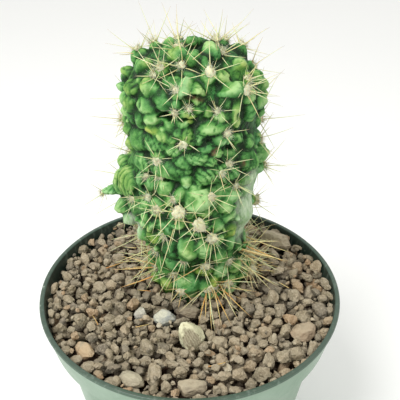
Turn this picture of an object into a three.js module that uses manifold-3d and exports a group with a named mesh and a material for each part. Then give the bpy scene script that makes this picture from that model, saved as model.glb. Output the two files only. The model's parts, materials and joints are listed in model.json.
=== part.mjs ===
// A crested echidne barrel cactus, rooted in a round nursery pot and dressed with coarse grit.
// Millimetres, +Z up, the origin at the middle of the pot's underside, the plant's front at -Y.
import * as THREE from "three";
import Module from "manifold-3d";
import { mergeVertices } from "three/addons/utils/BufferGeometryUtils.js";

const wasm = await Module();
wasm.setup();

// The pot: a tapered wall with a wider collar, stepped out where the fingers lift it.
const rimRadius = 70;
const potHeight = 108;
const collarHeight = 16;
const collarFootRadius = 66.4;
const wallTopRadius = 62;
const footRadius = 48;
const footRingWidth = 7;
const footBevel = 1.6;
const footCorner = 0.8;
const wallThickness = 1.6;
const lipWidth = 2.2;
const rimCorner = 0.3;
const rimBand = 1.1;
const rimDraft = 0.5;
const stepUnder = 0.8;
const stepOver = 1.6;
const floorTop = 4;
const footRecess = 2.2;
const potSides = 48;
const drainHoles = 6;
const drainRadius = 3.5;
const drainCircle = 30;
const drainSides = 10;

// What fills it.
const touchGap = 0.3;
const wallRoom = 1;
const plantRoom = 0.4;
const soilTop = 93.6;
const fillSides = 24;
const bedTop = 100;
const bedRadius = 64.2;
const grainRadius = [3.6, 5.2];
const grainTries = 9000;
const grainSpacing = 0.9;
const grainRise = [2, 4.2];
const grainLength = [0.78, 0.96];
const grainWidth = [0.68, 0.82];
const grainTaper = 0.72;
const grainUneven = 0.3;
const grainSink = 1.2;
const grainOverhang = 0.4;
const grainSeed = 41;
// How much of a stone's, the plant's and a grain's own radius the thrown grains keep clear of.
const stoneShare = 0.7;
const grainShare = 0.6;
const plantShare = 0.4;

// The plant.
const azimuthSteps = 56;
const ringStep = 3.1;
const spineRadius = 0.6;
const spineSink = 3.2;
const spineFloor = 105.6;
const spineReach = 68;
const spineTurns = 12;
const spineTurn = 0.14;
const deepestUndercut = 2;
// How far an areole's middle spine and its ring of spines lean from straight out, in degrees.
const centralLean = [8, 20];
const ringLean = [52, 70];
const ringJitter = 0.35;
const lengthShare = [0.8, 1.15];
const plantSeed = 7;
// Tubercles of the far side: rows, spacing, and the ranges that each is drawn from.
const rowStep = 9.5;
const backSpacing = 10;
const backHeights = [108, 217];
const backAzimuths = [104, 262];
const backSize = [3.4, 5.6];
const backShape = [0.85, 1.25];
const backSwell = [3, 4.8];
const backShift = [5, 3.4];
const backRoll = 50;
const backReach = [12, 18];
const backWool = [1.8, 2.6];
const woollyShare = 0.62;

// Outline of the body without its tubercles, measured from the front and the side:
// height, left edge, right edge, front edge, back edge.
const stations = [
  [84, -10, 18, 0, 22],
  [94, -14, 22, -1, 25],
  [102, -17, 25, -3, 27],
  [110, -18, 27, -6, 30],
  [120, -18, 26, -9, 32],
  [132, -21, 25, -11, 33],
  [143, -26, 26, -13, 34],
  [153, -29, 28, -13, 34],
  [163, -29, 30, -12, 34],
  [172, -25, 30, -11, 33],
  [180, -24, 29, -11, 33],
  [188, -24, 28, -10, 33],
  [196, -26, 29, -10, 33],
  [204, -25, 29, -9, 33],
  [211, -21, 25, -5, 30],
  [217, -13, 17, 3, 24],
  [220, -6, 10, 9, 18],
  [221, -1, 5, 12, 15.5],
];
const crownTop = 221.3;
// Heights of the rings under the dressing and over the crown, where ringStep doesn't suit.
const footRings = [84, 92, 99];
const crownRings = [217.4, 219, 220, 220.7, 221];
const [shownFoot, shownCrown] = [102, 215.6];

// Tubercles and lobes on the side that is seen, from the crown down:
// azimuth from the front, height, half width, half height, swell, roll.
const crownLumps = [
  [180, 218, 4, 3.5, 2, 0],
  [-120, 219, 3, 3, 2.2, 0],
  [-110, 216.5, 3, 2.8, 3.2, 0],
  [-105, 211.5, 2.6, 2.8, 5, 0],
  [-100, 206.5, 2.8, 2.8, 4.8, 0],
  [-95, 201, 2.6, 2.4, 5, 0],
  [-62, 212.5, 2.5, 4, 3.5, -20],
  [-33, 213, 3.2, 3.2, 4, 0],
  [-20, 217.5, 5, 3.5, 4, 0],
  [1, 216.5, 3.5, 4, 4.5, 0],
  [-5, 220, 2.7, 2.4, 5, 0],
  [12, 220.5, 3.2, 2.6, 3, 0],
  [13, 214.5, 2.5, 4.6, 4, 0],
  [30, 218, 4, 5, 4.5, 0],
  [170, 219, 4, 3.4, 1.4, 0],
  [110, 219, 3.2, 2.8, 2.6, 0],
  [60, 213, 4.4, 3.9, 3.4, 0],
  [76, 211, 2.6, 2.8, 2.4, 0],
  [100, 209.5, 3, 2.8, 1.2, 0],
  [62, 215.5, 2.6, 2.4, 1.6, 0],
  [28, 211.5, 3.6, 3, 3.6, 0],
  [17, 212, 3.8, 3.4, 3.6, 0],
  [36, 206.5, 6.4, 3.6, 5, 0],
  [-7, 208.5, 3.4, 4.8, 4.4, -15],
  [4, 206.5, 3, 5, 4.6, 0],
  [-17, 209.5, 5, 3.6, 3.8, 0],
  [-24, 204, 6, 5, 3.4, 0],
  [-40, 207, 5.2, 4, 4, 0],
  [-40, 200, 5, 4, 3.4, 0],
  [-62, 205, 4, 4, 4.4, 0],
  [-62, 199, 4.2, 4.6, 4, 0],
  [72, 208, 3.8, 3.4, 4.6, 0],
  [88, 203, 3.4, 3.2, 3.8, 0],
  [50, 203, 4, 3.6, 4.6, 0],
  [62, 200, 3.6, 3.4, 4.2, 0],
  [95, 198.5, 3.4, 3.4, 4.6, 0],
];
const shelfLumps = [
  [-6, 199.5, 3, 3, 3, 0],
  [-2, 197.8, 2.5, 2, 3, 0],
  [-14, 199, 2.5, 2.5, 3, 0],
  [-14, 203, 2.5, 3, 2.8, 0],
  [6, 202, 3.4, 3, 2.4, 0],
  [12, 200.5, 2.2, 3, 2.6, 0],
  [27, 203, 3, 3, 3.4, 0],
  [23, 197.5, 2.8, 2.6, 3.2, 0],
  [29, 198, 2.5, 2.6, 3, 0],
  [37, 199, 2.8, 7, 4, 0],
  [52, 199, 3.4, 6, 4.4, 0],
  [85, 196.5, 3.6, 3.8, 4, 0],
  [-80, 198.5, 3.4, 3.2, 2.6, 0],
  [-82, 193, 3.2, 3.2, 3, 0],
  [-62, 193.5, 3.4, 4, 3, 0],
  [-47, 195, 2.8, 5, 3, 0],
  [-35, 196, 4, 3.6, 3.4, 0],
  [-36, 191.5, 3.6, 3, 3.4, 0],
  [15, 193.5, 8, 3.2, 4.6, 0],
  [-8, 195.5, 3, 2.4, 3.2, 0],
  [-17, 194, 3.4, 3, 3.4, 0],
  [-11, 192, 3, 3.4, 4, 10],
  [-4, 189.5, 4.6, 5.4, 5.4, 0],
  [-17, 188.5, 4, 3, 3.6, 30],
  [-25, 189, 4, 3.4, 3.2, 0],
  [-36, 185.5, 7, 5, 3.4, 0],
  [-58, 184.5, 7, 6, 3.8, 0],
  [-80, 187, 5, 5, 4.2, 0],
  [-95, 187.5, 3.2, 2.8, 4.8, 0],
  [-78, 179.5, 4, 4.4, 3.4, 0],
  [-18, 183.5, 4, 3, 3.4, 0],
  [-33, 181, 4, 4, 3, 0],
  [-37, 177.5, 3.8, 3.4, 3.4, 0],
  [5, 189.5, 3.4, 4, 4.6, 0],
  [23, 188.5, 4.2, 4, 4.4, 0],
  [30, 188, 3, 2.8, 4, 0],
  [40, 187, 4, 3, 3.8, 0],
  [10, 185.5, 5, 3, 3.8, 0],
  [18, 183, 3.6, 3, 3.4, 0],
  [55, 184, 3.6, 3.2, 4, 0],
  [86, 192.5, 3.2, 3.2, 3.6, 0],
];
const waistLumps = [
  [55, 176, 6, 6, 4.2, 0],
  [86, 180, 4, 3.2, 2.2, 0],
  [88, 173, 5, 5, 5.4, 0],
  [3, 181, 6, 3.4, 4.6, 0],
  [12, 180, 4, 3, 4.4, 0],
  [-22, 175, 9, 5.4, 4.4, 0],
  [-10, 179, 5, 4, 3.8, 0],
  [-52, 175.5, 6, 4.6, 3.8, 0],
  [-8, 172, 3, 4, 3, 30],
  [-23, 167, 5, 5, 3.8, 0],
  [-36, 167.5, 3.6, 3.2, 3.6, 0],
  [-47, 168, 2.8, 4, 3, 0],
  [-84, 159, 4.4, 6.8, 5.2, 0],
  [-88, 154.8, 3.6, 2.8, 11, 0],
  [-88, 155, 4, 3.6, 4.4, 0],
  [-84, 148, 4.4, 4, 7.4, 0],
  [-78, 143, 4, 3.6, 6, 0],
  [-38, 157, 4, 3.6, 3, 0],
  [-37, 151.5, 3, 3, 3.2, 0],
  [-25, 159, 3.6, 3.4, 3.2, 0],
  [-27, 155.5, 3, 3, 3, 0],
  [-15, 162, 3.6, 3.2, 3.8, 0],
  [-7, 163.5, 5, 5, 4.4, 0],
  [5, 163, 7.2, 6.4, 6, 0],
  [-8, 157, 4.4, 3.6, 4.4, 0],
  [1, 156.5, 3.6, 3, 3.4, 0],
  [-8, 151.5, 4.6, 2.6, 3.8, 0],
  [9, 151.5, 5, 3.8, 3.8, 0],
  [13, 156.5, 4, 3, 3.6, 0],
  [32, 157, 3.6, 3.6, 3.6, 0],
  [38, 161.5, 4, 3, 3, 0],
  [52, 162, 4, 3.4, 2, 0],
  [52, 167.5, 6, 3.2, 2.6, 0],
  [34, 173, 3.6, 3.4, 3.4, 0],
  [25, 171.5, 2.8, 3, 3, 0],
  [37, 151.5, 4.4, 4.8, 2.8, 0],
  [28, 149, 4, 4, 2.4, 0],
  [88, 166, 4, 3.4, 3, 0],
  [13, 174, 8.4, 6, 3.9, 25],
  [-67, 162.5, 6.6, 7.4, 4, 0],
];
const footLumps = [
  [66, 148, 7, 12, 2.6, 0],
  [45, 143, 4.6, 5, 1.8, 0],
  [-3, 137.5, 6.4, 6.2, 6, 0],
  [11, 137, 5, 5.2, 5, 0],
  [25, 141, 4, 3.8, 4.2, 0],
  [-20, 148, 5, 4.6, 3, 0],
  [-18, 136, 7, 7, 3.6, 0],
  [-35, 141.5, 4.6, 4, 3.2, 0],
  [-58, 138, 5, 5, 3.4, 0],
  [-25, 126, 6, 5, 3.2, 0],
  [-15, 128, 3, 2.6, 3.4, 0],
  [-42, 122, 6, 7, 3.4, 0],
  [-13, 114, 7, 7, 5.4, 0],
  [5, 114, 4.4, 4.6, 3.6, 0],
  [8, 123.5, 4, 3.6, 4, 0],
  [18, 117, 4, 4, 3.8, 0],
  [15, 107, 6, 3.6, 4.2, 0],
  [28, 122, 4, 4, 3.6, 0],
  [27, 132, 4, 5, 3.4, 20],
  [45, 135.5, 4, 5, 2.2, 0],
  [62, 130, 5, 5, 2, 0],
  [48, 121, 4, 3.6, 3.8, 0],
  [36, 113.5, 4.4, 4, 3.4, 0],
  [36, 108, 4.4, 3, 4, 0],
  [80, 129.5, 4.4, 4.4, 1.5, 0],
  [86, 122, 4.4, 4.4, 3.6, 0],
  [75, 112, 4.6, 4, 3.8, 0],
  [-85, 130, 4, 4, 3.4, 0],
  [-80, 118, 4, 5, 3.8, 0],
  [-40, 111.5, 4.4, 4, 4, 0],
  [-14, 106.2, 4.8, 2.4, 3.4, 0],
  [-62, 110, 4.6, 4, 3.4, 0],
  [-42, 109, 4.2, 3.8, 3.4, 0],
];

// Areoles on that side: azimuth, height, wool radius, spines, spine length.
const frontAreoles = [
  [-37, 219.5, 1.7, 5, 13],
  [-42, 211.5, 1.3, 4, 11],
  [-32, 212.5, 1.3, 4, 12],
  [-14, 215, 1.9, 6, 15],
  [16, 212, 2.4, 5, 13],
  [44, 206, 2.4, 6, 13],
  [51, 217.5, 1.5, 5, 13],
  [-13, 207.5, 1.3, 3, 10],
  [-13, 200, 0.9, 2, 6],
  [20, 200, 1.2, 4, 9],
  [-3, 201.5, 1, 2, 6],
  [28, 191, 1.6, 4, 11],
  [-7, 188.5, 1.5, 2, 7],
  [-32, 179, 1.6, 4, 12],
  [-29, 171, 1.3, 3, 8],
  [30, 176.5, 1.6, 4, 11],
  [21, 175, 1, 3, 9],
  [-43, 169.5, 1, 2, 7],
  [-56, 157, 1.3, 3, 10],
  [-35, 161, 1.4, 5, 11],
  [-24, 158, 1.7, 5, 11],
  [-12, 163.5, 1, 2, 9],
  [-7, 158, 2.2, 5, 16],
  [15, 164.5, 1.7, 6, 13],
  [9, 152, 2.6, 6, 13],
  [21, 144, 2.2, 6, 14],
  [-22, 145, 1.1, 4, 9],
  [-10, 132, 1.3, 2, 9],
  [10, 127.5, 1.9, 6, 13],
  [-31, 118.5, 2, 5, 12],
  [-18, 114, 1.5, 3, 8],
  [13, 113, 2.6, 8, 20],
  [32, 114, 1.7, 5, 15],
  [41, 125, 1.5, 5, 14],
  [58, 119.5, 1.3, 5, 14],
  [-51, 129.5, 1.3, 4, 12],
  [-65, 115, 1.4, 5, 14],
  [39, 166, 1.2, 5, 11],
  [78, 122, 1.7, 7, 13],
  [56, 208.5, 2, 7, 9],
  [110, 219.5, 1.8, 4, 16],
  [-110, 216.5, 1.4, 3, 14],
  [86, 179, 1.4, 3, 14],
  [88, 166, 1.2, 3, 14],
  [-95, 187.5, 1.2, 2, 14],
  [-88, 154, 0.9, 3, 9],
  [-85, 130, 1.4, 3, 14],
  [88, 128, 2.4, 6, 16],
  [85, 119, 2.4, 5, 17],
  [75, 112, 2.2, 5, 15],
  [-80, 117, 1.8, 4, 16],
];

// The larger stones of the dressing: middle, half sizes, turn, tilt and colour.
const stones = {
  stone_cream: { at: [0.9, -31.8, 104.2], half: [6.2, 5.6, 8.6], turn: 55, tilt: -36, colour: 0xcdbfa4 },
  stone_grey: { at: [44.5, 38.5, 105.8], half: [9.8, 6, 5.2], turn: -35, tilt: 6, colour: 0x8f8d88 },
  stone_rust: { at: [-0.4, -14.4, 103], half: [6, 5, 4], turn: 5, tilt: -10, colour: 0x8f6a58 },
  stone_mottled: { at: [-11.3, -18, 103.2], half: [5.4, 4.4, 4], turn: -20, tilt: 6, colour: 0xb9b8b4 },
  stone_white: { at: [-22.4, -16, 103.4], half: [3.2, 3, 4.2], turn: 40, tilt: 12, colour: 0xc9c8c0 },
  stone_tan: { at: [50, -27.5, 103.2], half: [6.6, 5.4, 3.8], turn: 30, tilt: 5, colour: 0xa68d72 },
  stone_slab: { at: [-44.5, -38.5, 103], half: [6, 3.8, 2.8], turn: -49, tilt: 10, colour: 0xb08760 },
  stone_buff: { at: [1.5, -58.5, 103.2], half: [6.6, 4.4, 3.8], turn: 0, tilt: 4, colour: 0xa8906f },
  stone_pale: { at: [-22.8, -54.5, 103.2], half: [6, 3.6, 3.4], turn: -22, tilt: -6, colour: 0xb5a68e },
};
const stoneFacets = 9;
const facetDepth = [0.72, 0.98];
const facetReach = 0.2;
const stoneClearance = 0.35;
const stoneSeed = 23;

const radians = (degrees) => (degrees * Math.PI) / 180;

// A repeatable draw between 0 and 1, the minimal standard generator.
function seeded(seed) {
  let state = seed;
  return () => {
    state = (state * 16807) % 2147483647;
    return state / 2147483647;
  };
}

function between([low, high], draw) {
  return low + (high - low) * draw();
}

// A closed mesh as a solid, with its seams joined and its collapsed faces dropped.
function solidOf(geometry) {
  const bare = new THREE.BufferGeometry();
  bare.setAttribute("position", geometry.getAttribute("position"));
  bare.setIndex(geometry.index);
  const merged = mergeVertices(bare, 1e-4);
  const corners = merged.index.array;
  const faces = [];
  for (let i = 0; i < corners.length; i += 3) {
    const [a, b, c] = corners.subarray(i, i + 3);
    if (a !== b && b !== c && c !== a) faces.push(a, b, c);
  }
  return new wasm.Manifold(
    new wasm.Mesh({
      numProp: 3,
      vertProperties: merged.getAttribute("position").array,
      triVerts: new Uint32Array(faces),
    }),
  );
}

// The largest body of a solid; loose scraps are dropped.
function largestBody(solid) {
  const bodies = solid.decompose();
  bodies.sort((a, b) => b.volume() - a.volume());
  return bodies[0];
}

function meshOf(name, solid, colour, roughness) {
  const { vertProperties, triVerts } = solid.getMesh();
  const geometry = new THREE.BufferGeometry();
  geometry.setAttribute("position", new THREE.BufferAttribute(vertProperties, 3));
  geometry.setIndex(new THREE.BufferAttribute(triVerts, 1));
  geometry.computeVertexNormals();
  const material = new THREE.MeshStandardMaterial({ color: colour, roughness, metalness: 0 });
  const mesh = new THREE.Mesh(geometry, material);
  mesh.name = name;
  return mesh;
}

// A profile of [radius, height] that starts and ends on the axis, turned about it.
function turned(profile, sides) {
  const points = profile.map(([radius, height]) => new THREE.Vector2(radius, height));
  const geometry = new THREE.LatheGeometry(points, sides);
  geometry.rotateX(Math.PI / 2);
  return solidOf(geometry);
}

// Radii of the pot's inner face, by height.
const collarBottom = potHeight - collarHeight;
function innerRadius(z) {
  const low = [floorTop, footRadius - wallThickness + footCorner];
  const step = [collarBottom - stepUnder, wallTopRadius - wallThickness];
  const shelf = [collarBottom + stepOver, collarFootRadius - wallThickness];
  const lip = [potHeight, rimRadius - lipWidth];
  const [from, to] = z < step[0] ? [low, step] : z < shelf[0] ? [step, shelf] : [shelf, lip];
  return from[1] + ((to[1] - from[1]) * (z - from[0])) / (to[0] - from[0]);
}

function makePot() {
  const body = turned(
    [
      [0, footRecess],
      [footRadius - footRingWidth, footRecess],
      [footRadius - footRingWidth + footBevel, 0],
      [footRadius - footCorner, 0],
      [footRadius, footCorner],
      [wallTopRadius, collarBottom],
      [collarFootRadius, collarBottom + rimDraft],
      [rimRadius - rimDraft, potHeight - rimBand - rimDraft],
      [rimRadius, potHeight - rimBand],
      [rimRadius - rimCorner, potHeight],
      [rimRadius - lipWidth, potHeight],
      [innerRadius(collarBottom + stepOver), collarBottom + stepOver],
      [innerRadius(collarBottom - stepUnder), collarBottom - stepUnder],
      [innerRadius(floorTop), floorTop],
      [0, floorTop],
    ],
    potSides,
  );
  const holes = [];
  for (let i = 0; i < drainHoles; i++) {
    const angle = (2 * Math.PI * i) / drainHoles;
    const drill = new THREE.CylinderGeometry(drainRadius, drainRadius, 4 * floorTop, drainSides);
    drill.rotateX(Math.PI / 2);
    drill.translate(drainCircle * Math.cos(angle), drainCircle * Math.sin(angle), 0);
    holes.push(solidOf(drill));
  }
  return body.subtract(wasm.Manifold.union(holes));
}

// Smooth curve through the stations, by height, for one of their edges.
function edgeAt(column, z) {
  const last = stations.length - 1;
  let i = 0;
  while (i < last - 1 && stations[i + 1][0] < z) i++;
  const slope = (k) => {
    const before = stations[Math.max(k - 1, 0)];
    const after = stations[Math.min(k + 1, last)];
    return (after[column] - before[column]) / (after[0] - before[0]);
  };
  const [low, high] = [stations[i], stations[i + 1]];
  const span = high[0] - low[0];
  const t = Math.min(Math.max((z - low[0]) / span, 0), 1);
  return (
    (2 * t ** 3 - 3 * t ** 2 + 1) * low[column] +
    (t ** 3 - 2 * t ** 2 + t) * span * slope(i) +
    (3 * t ** 2 - 2 * t ** 3) * high[column] +
    (t ** 3 - t ** 2) * span * slope(i + 1)
  );
}

// A point of the body's own surface, azimuth 0 at the front and 90 at +X.
function bodyPoint(azimuth, z, grown = 0) {
  const [left, right, front, back] = [1, 2, 3, 4].map((column) => edgeAt(column, z));
  const angle = radians(azimuth);
  return new THREE.Vector3(
    (left + right) / 2 + ((right - left) / 2 + grown) * Math.sin(angle),
    (front + back) / 2 - ((back - front) / 2 + grown) * Math.cos(angle),
    z,
  );
}

// The surface's frame there: across, up the slope and outward.
function bodyFrame(azimuth, z) {
  const at = bodyPoint(azimuth, z);
  const across = bodyPoint(azimuth + 1, z).sub(bodyPoint(azimuth - 1, z)).normalize();
  const low = Math.max(z - 0.5, stations[0][0]);
  const high = Math.min(z + 0.5, stations[stations.length - 1][0]);
  const rise = bodyPoint(azimuth, high).sub(bodyPoint(azimuth, low));
  const outward = new THREE.Vector3().crossVectors(across, rise).normalize();
  const upward = new THREE.Vector3().crossVectors(outward, across);
  return { at, across, upward, outward };
}

// A lump as an ellipsoid whose far end stands out of the body by its swell.
function lumpEllipsoid([azimuth, z, halfWidth, halfHeight, swell, roll]) {
  const { at, across, upward, outward } = bodyFrame(azimuth, z);
  const turn = radians(roll);
  const wide = across.clone().multiplyScalar(Math.cos(turn)).addScaledVector(upward, Math.sin(turn));
  const high = upward.clone().multiplyScalar(Math.cos(turn)).addScaledVector(across, -Math.sin(turn));
  const deep = (swell + Math.min(halfWidth, halfHeight)) / 2;
  const centre = at.clone().addScaledVector(outward, swell - deep);
  return { centre, axes: [wide, high, outward], half: [halfWidth, halfHeight, deep] };
}

// Tubercles of the far side, in staggered rows with a jitter.
function backLumps() {
  const draw = seeded(plantSeed);
  const lumps = [];
  const areoles = [];
  let row = 0;
  for (let z = backHeights[0]; z < backHeights[1]; z += rowStep, row++) {
    const halfWidth = (edgeAt(2, z) - edgeAt(1, z)) / 2;
    const step = (backSpacing * 180) / (Math.PI * Math.max(halfWidth, 12));
    const start = backAzimuths[0] + ((row % 2) * step) / 2;
    for (let azimuth = start; azimuth < backAzimuths[1]; azimuth += step) {
      const size = between(backSize, draw);
      const shape = between(backShape, draw);
      const swell = between(backSwell, draw);
      const place = [azimuth + backShift[0] * (draw() - 0.5), z + backShift[1] * (draw() - 0.5)];
      lumps.push([...place, size * shape, size / shape, swell, backRoll * (draw() - 0.5)]);
      const woolly = draw() < woollyShare;
      const reach = between(backReach, draw);
      if (woolly) areoles.push([...place, between(backWool, draw), draw() < 0.5 ? 3 : 4, reach]);
    }
  }
  return { lumps, areoles };
}

// How far a straight line from the body's surface runs before it leaves the last lump on its way,
// and which way the lump faces there.
function outermost(from, outward, lumps) {
  let reach = 0;
  let facing = outward;
  for (const { centre, axes, half } of lumps) {
    const offset = from.clone().sub(centre);
    const start = new THREE.Vector3(...axes.map((axis, i) => offset.dot(axis) / half[i]));
    const along = new THREE.Vector3(...axes.map((axis, i) => outward.dot(axis) / half[i]));
    const middle = -start.dot(along) / along.lengthSq();
    const spread = middle * middle - (start.lengthSq() - 1) / along.lengthSq();
    if (spread <= 0) continue;
    const exit = middle + Math.sqrt(spread);
    if (exit <= reach || middle - Math.sqrt(spread) > deepestUndercut) continue;
    reach = exit;
    const hit = start.addScaledVector(along, exit);
    const normal = new THREE.Vector3();
    axes.forEach((axis, i) => normal.addScaledVector(axis, hit.getComponent(i) / half[i]));
    facing = normal.normalize();
  }
  return { reach, facing };
}

// The place on the lumpy surface over an azimuth and height, and the way it faces.
function surfaceAt(azimuth, z, lumps) {
  const { at, outward } = bodyFrame(azimuth, z);
  const { reach, facing } = outermost(at, outward, lumps);
  const normal = facing.clone().add(outward).normalize();
  return { at: at.addScaledVector(outward, reach), outward, normal };
}

// The body: rings of points pushed out to the lumps' surface, closed at the foot and the crown.
function bodySolid(lumps, grown) {
  const heights = [...footRings];
  const rows = Math.round((shownCrown - shownFoot) / ringStep);
  for (let i = 0; i <= rows; i++) heights.push(shownFoot + ((shownCrown - shownFoot) * i) / rows);
  heights.push(...crownRings);
  const places = [];
  const faces = [];
  for (const z of heights) {
    for (let k = 0; k < azimuthSteps; k++) {
      const { at, outward } = surfaceAt((360 * k) / azimuthSteps, z, lumps);
      places.push(...at.addScaledVector(outward, grown).toArray());
    }
  }
  const middle = (z) => bodyPoint(0, z).lerp(bodyPoint(180, z), 0.5);
  const crown = middle(crownRings[crownRings.length - 1]).setZ(crownTop);
  crown.z += outermost(crown, new THREE.Vector3(0, 0, 1), lumps).reach + grown;
  places.push(...middle(heights[0]).toArray(), ...crown.toArray());
  const last = heights.length - 1;
  const foot = heights.length * azimuthSteps;
  for (let k = 0; k < azimuthSteps; k++) {
    const next = (k + 1) % azimuthSteps;
    for (let i = 0; i < last; i++) {
      const [a, b] = [i * azimuthSteps + k, i * azimuthSteps + next];
      faces.push(a, b, b + azimuthSteps, a, b + azimuthSteps, a + azimuthSteps);
    }
    faces.push(next, k, foot, last * azimuthSteps + k, last * azimuthSteps + next, foot + 1);
  }
  const geometry = new THREE.BufferGeometry();
  geometry.setAttribute("position", new THREE.Float32BufferAttribute(places, 3));
  geometry.setIndex(faces);
  return solidOf(geometry);
}

// The pad of wool of an areole, as one more lump.
function padEllipsoid([azimuth, z, wool], lumps) {
  const { at, normal } = surfaceAt(azimuth, z, lumps);
  const side = new THREE.Vector3(0, 0, 1).cross(normal).normalize();
  const up = normal.clone().cross(side);
  return { centre: at, axes: [side, up, normal], half: [wool, wool, 0.6 * wool] };
}

// The spines of an areole: one that stands out and the rest leaning outward round it.
function areoleSpines([azimuth, z, , count, length], lumps, draw, clutter) {
  const { at, normal } = surfaceAt(azimuth, z, lumps);
  const side = new THREE.Vector3(0, 0, 1).cross(normal).normalize();
  const up = normal.clone().cross(side);
  const centrals = count > 3 ? 1 : 0;
  const phase = 2 * Math.PI * draw();
  const spines = [];
  for (let i = 0; i < count; i++) {
    const lean = radians(between(i < centrals ? centralLean : ringLean, draw));
    const turn = phase + (2 * Math.PI * (i + ringJitter * (draw() - 0.5))) / (count - centrals);
    const reach = length * between(lengthShare, draw);
    const way = normal.clone().multiplyScalar(Math.cos(lean));
    way.addScaledVector(side, Math.sin(lean) * Math.cos(turn));
    way.addScaledVector(up, Math.sin(lean) * Math.sin(turn));
    const root = at.clone().addScaledVector(normal, -spineSink);
    const spine = spineSolid(root, at, way, reach, clutter);
    if (spine) spines.push(spine);
  }
  return spines;
}

// One spine, turned up until it is over the grit and inside the rim.
function spineSolid(root, at, way, length, clutter) {
  const aim = way.clone();
  for (let i = 0; i < spineTurns; i++) {
    const tip = at.clone().addScaledVector(aim, length);
    const free = tip.z > spineFloor && Math.hypot(tip.x, tip.y) < spineReach;
    if (free && cone(root, tip, spineRadius + touchGap).intersect(clutter).volume() === 0) {
      return cone(root, tip, spineRadius);
    }
    aim.z += spineTurn;
    aim.normalize();
  }
  return null;
}

function cone(root, tip, radius) {
  const way = tip.clone().sub(root);
  const length = way.length();
  const geometry = new THREE.ConeGeometry(radius, length, 3);
  geometry.translate(0, length / 2, 0);
  geometry.applyQuaternion(
    new THREE.Quaternion().setFromUnitVectors(new THREE.Vector3(0, 1, 0), way.divideScalar(length)),
  );
  geometry.translate(root.x, root.y, root.z);
  return solidOf(geometry);
}

// A broken stone: a sphere cut back to a few flat facets at seeded directions.
function stoneSolid({ at, half, turn, tilt }, grown, draw) {
  const geometry = new THREE.IcosahedronGeometry(1, 1);
  const cuts = [];
  for (let i = 0; i < stoneFacets; i++) {
    const height = 2 * draw() - 1;
    const angle = 2 * Math.PI * draw();
    const ring = Math.sqrt(1 - height * height);
    const depth = between(facetDepth, draw);
    cuts.push([new THREE.Vector3(ring * Math.cos(angle), ring * Math.sin(angle), height), depth]);
  }
  const places = geometry.getAttribute("position");
  const corner = new THREE.Vector3();
  for (let i = 0; i < places.count; i++) {
    corner.fromBufferAttribute(places, i);
    let radius = 1;
    for (const [facing, depth] of cuts) {
      const facingShare = corner.dot(facing);
      if (facingShare > facetReach) radius = Math.min(radius, depth / facingShare);
    }
    corner.multiplyScalar(radius);
    places.setXYZ(
      i,
      corner.x * (half[0] + grown),
      corner.y * (half[1] + grown),
      corner.z * (half[2] + grown),
    );
  }
  geometry.rotateX(radians(tilt));
  geometry.rotateZ(radians(turn));
  geometry.translate(...at);
  return solidOf(geometry);
}

// Grains of the dressing, thrown at random and kept apart by their size.
function grains(keepOut) {
  const draw = seeded(grainSeed);
  const placed = [];
  for (let i = 0; i < grainTries; i++) {
    const radius = grainRadius[0] + (grainRadius[1] - grainRadius[0]) * draw() ** 2;
    const distance = (bedRadius + grainOverhang - radius) * Math.sqrt(draw());
    const angle = 2 * Math.PI * draw();
    const [x, y] = [distance * Math.cos(angle), distance * Math.sin(angle)];
    const near = placed.some((g) => Math.hypot(g.x - x, g.y - y) < (g.radius + radius) * grainSpacing);
    if (near || keepOut(x, y, radius)) continue;
    placed.push({ x, y, radius });
  }
  return placed.map(({ x, y, radius }) => grainSolid(x, y, radius, draw));
}

// One grain: a chip with six uneven faces, its foot sunk in the bed.
function grainSolid(x, y, radius, draw) {
  const half = [radius * between(grainLength, draw), radius * between(grainWidth, draw)];
  const top = bedTop + between(grainRise, draw);
  const geometry = solidCorners(new THREE.BoxGeometry(2 * half[0], 2 * half[1], 1));
  const places = geometry.getAttribute("position");
  for (let i = 0; i < places.count; i++) {
    const uneven = () => grainUneven * radius * (draw() - 0.5);
    const high = places.getZ(i) > 0;
    const inset = high ? grainTaper : 1;
    places.setXYZ(
      i,
      places.getX(i) * inset + uneven(),
      places.getY(i) * inset + uneven(),
      high ? top + uneven() : bedTop - grainSink,
    );
  }
  geometry.rotateZ(2 * Math.PI * draw());
  geometry.translate(x, y, 0);
  return solidOf(geometry);
}

function solidCorners(geometry) {
  geometry.deleteAttribute("normal");
  geometry.deleteAttribute("uv");
  return mergeVertices(geometry);
}

function insidePlant(x, y, margin) {
  const foot = [1, 2, 3, 4].map((column) => edgeAt(column, shownFoot));
  const across = (x - (foot[0] + foot[1]) / 2) / ((foot[1] - foot[0]) / 2 + margin);
  const along = (y - (foot[2] + foot[3]) / 2) / ((foot[3] - foot[2]) / 2 + margin);
  return across * across + along * along < 1;
}

const group = new THREE.Group();
group.add(meshOf("pot", makePot(), 0xa3bba8, 0.42));

const back = backLumps();
const shown = [...crownLumps, ...shelfLumps, ...waistLumps, ...footLumps];
const tubercles = [...shown, ...back.lumps].map(lumpEllipsoid);
const areoles = [...frontAreoles, ...back.areoles];
const lumps = [...tubercles, ...areoles.map((areole) => padEllipsoid(areole, tubercles))];
const body = bodySolid(lumps, 0);
const bodyRoom = bodySolid(lumps, plantRoom);

const soilFoot = floorTop + touchGap;
const soil = turned(
  [
    [0, soilFoot],
    [innerRadius(soilFoot) - touchGap, soilFoot],
    [innerRadius(collarBottom - stepUnder) - touchGap, collarBottom - stepUnder],
    [innerRadius(soilTop - touchGap) - wallRoom, soilTop - touchGap],
    [0, soilTop - touchGap],
  ],
  fillSides,
).subtract(bodyRoom.add(bodyRoom.translate(0, 0, -touchGap)));
group.add(meshOf("soil", soil, 0x3b2c22, 0.95));

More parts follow.
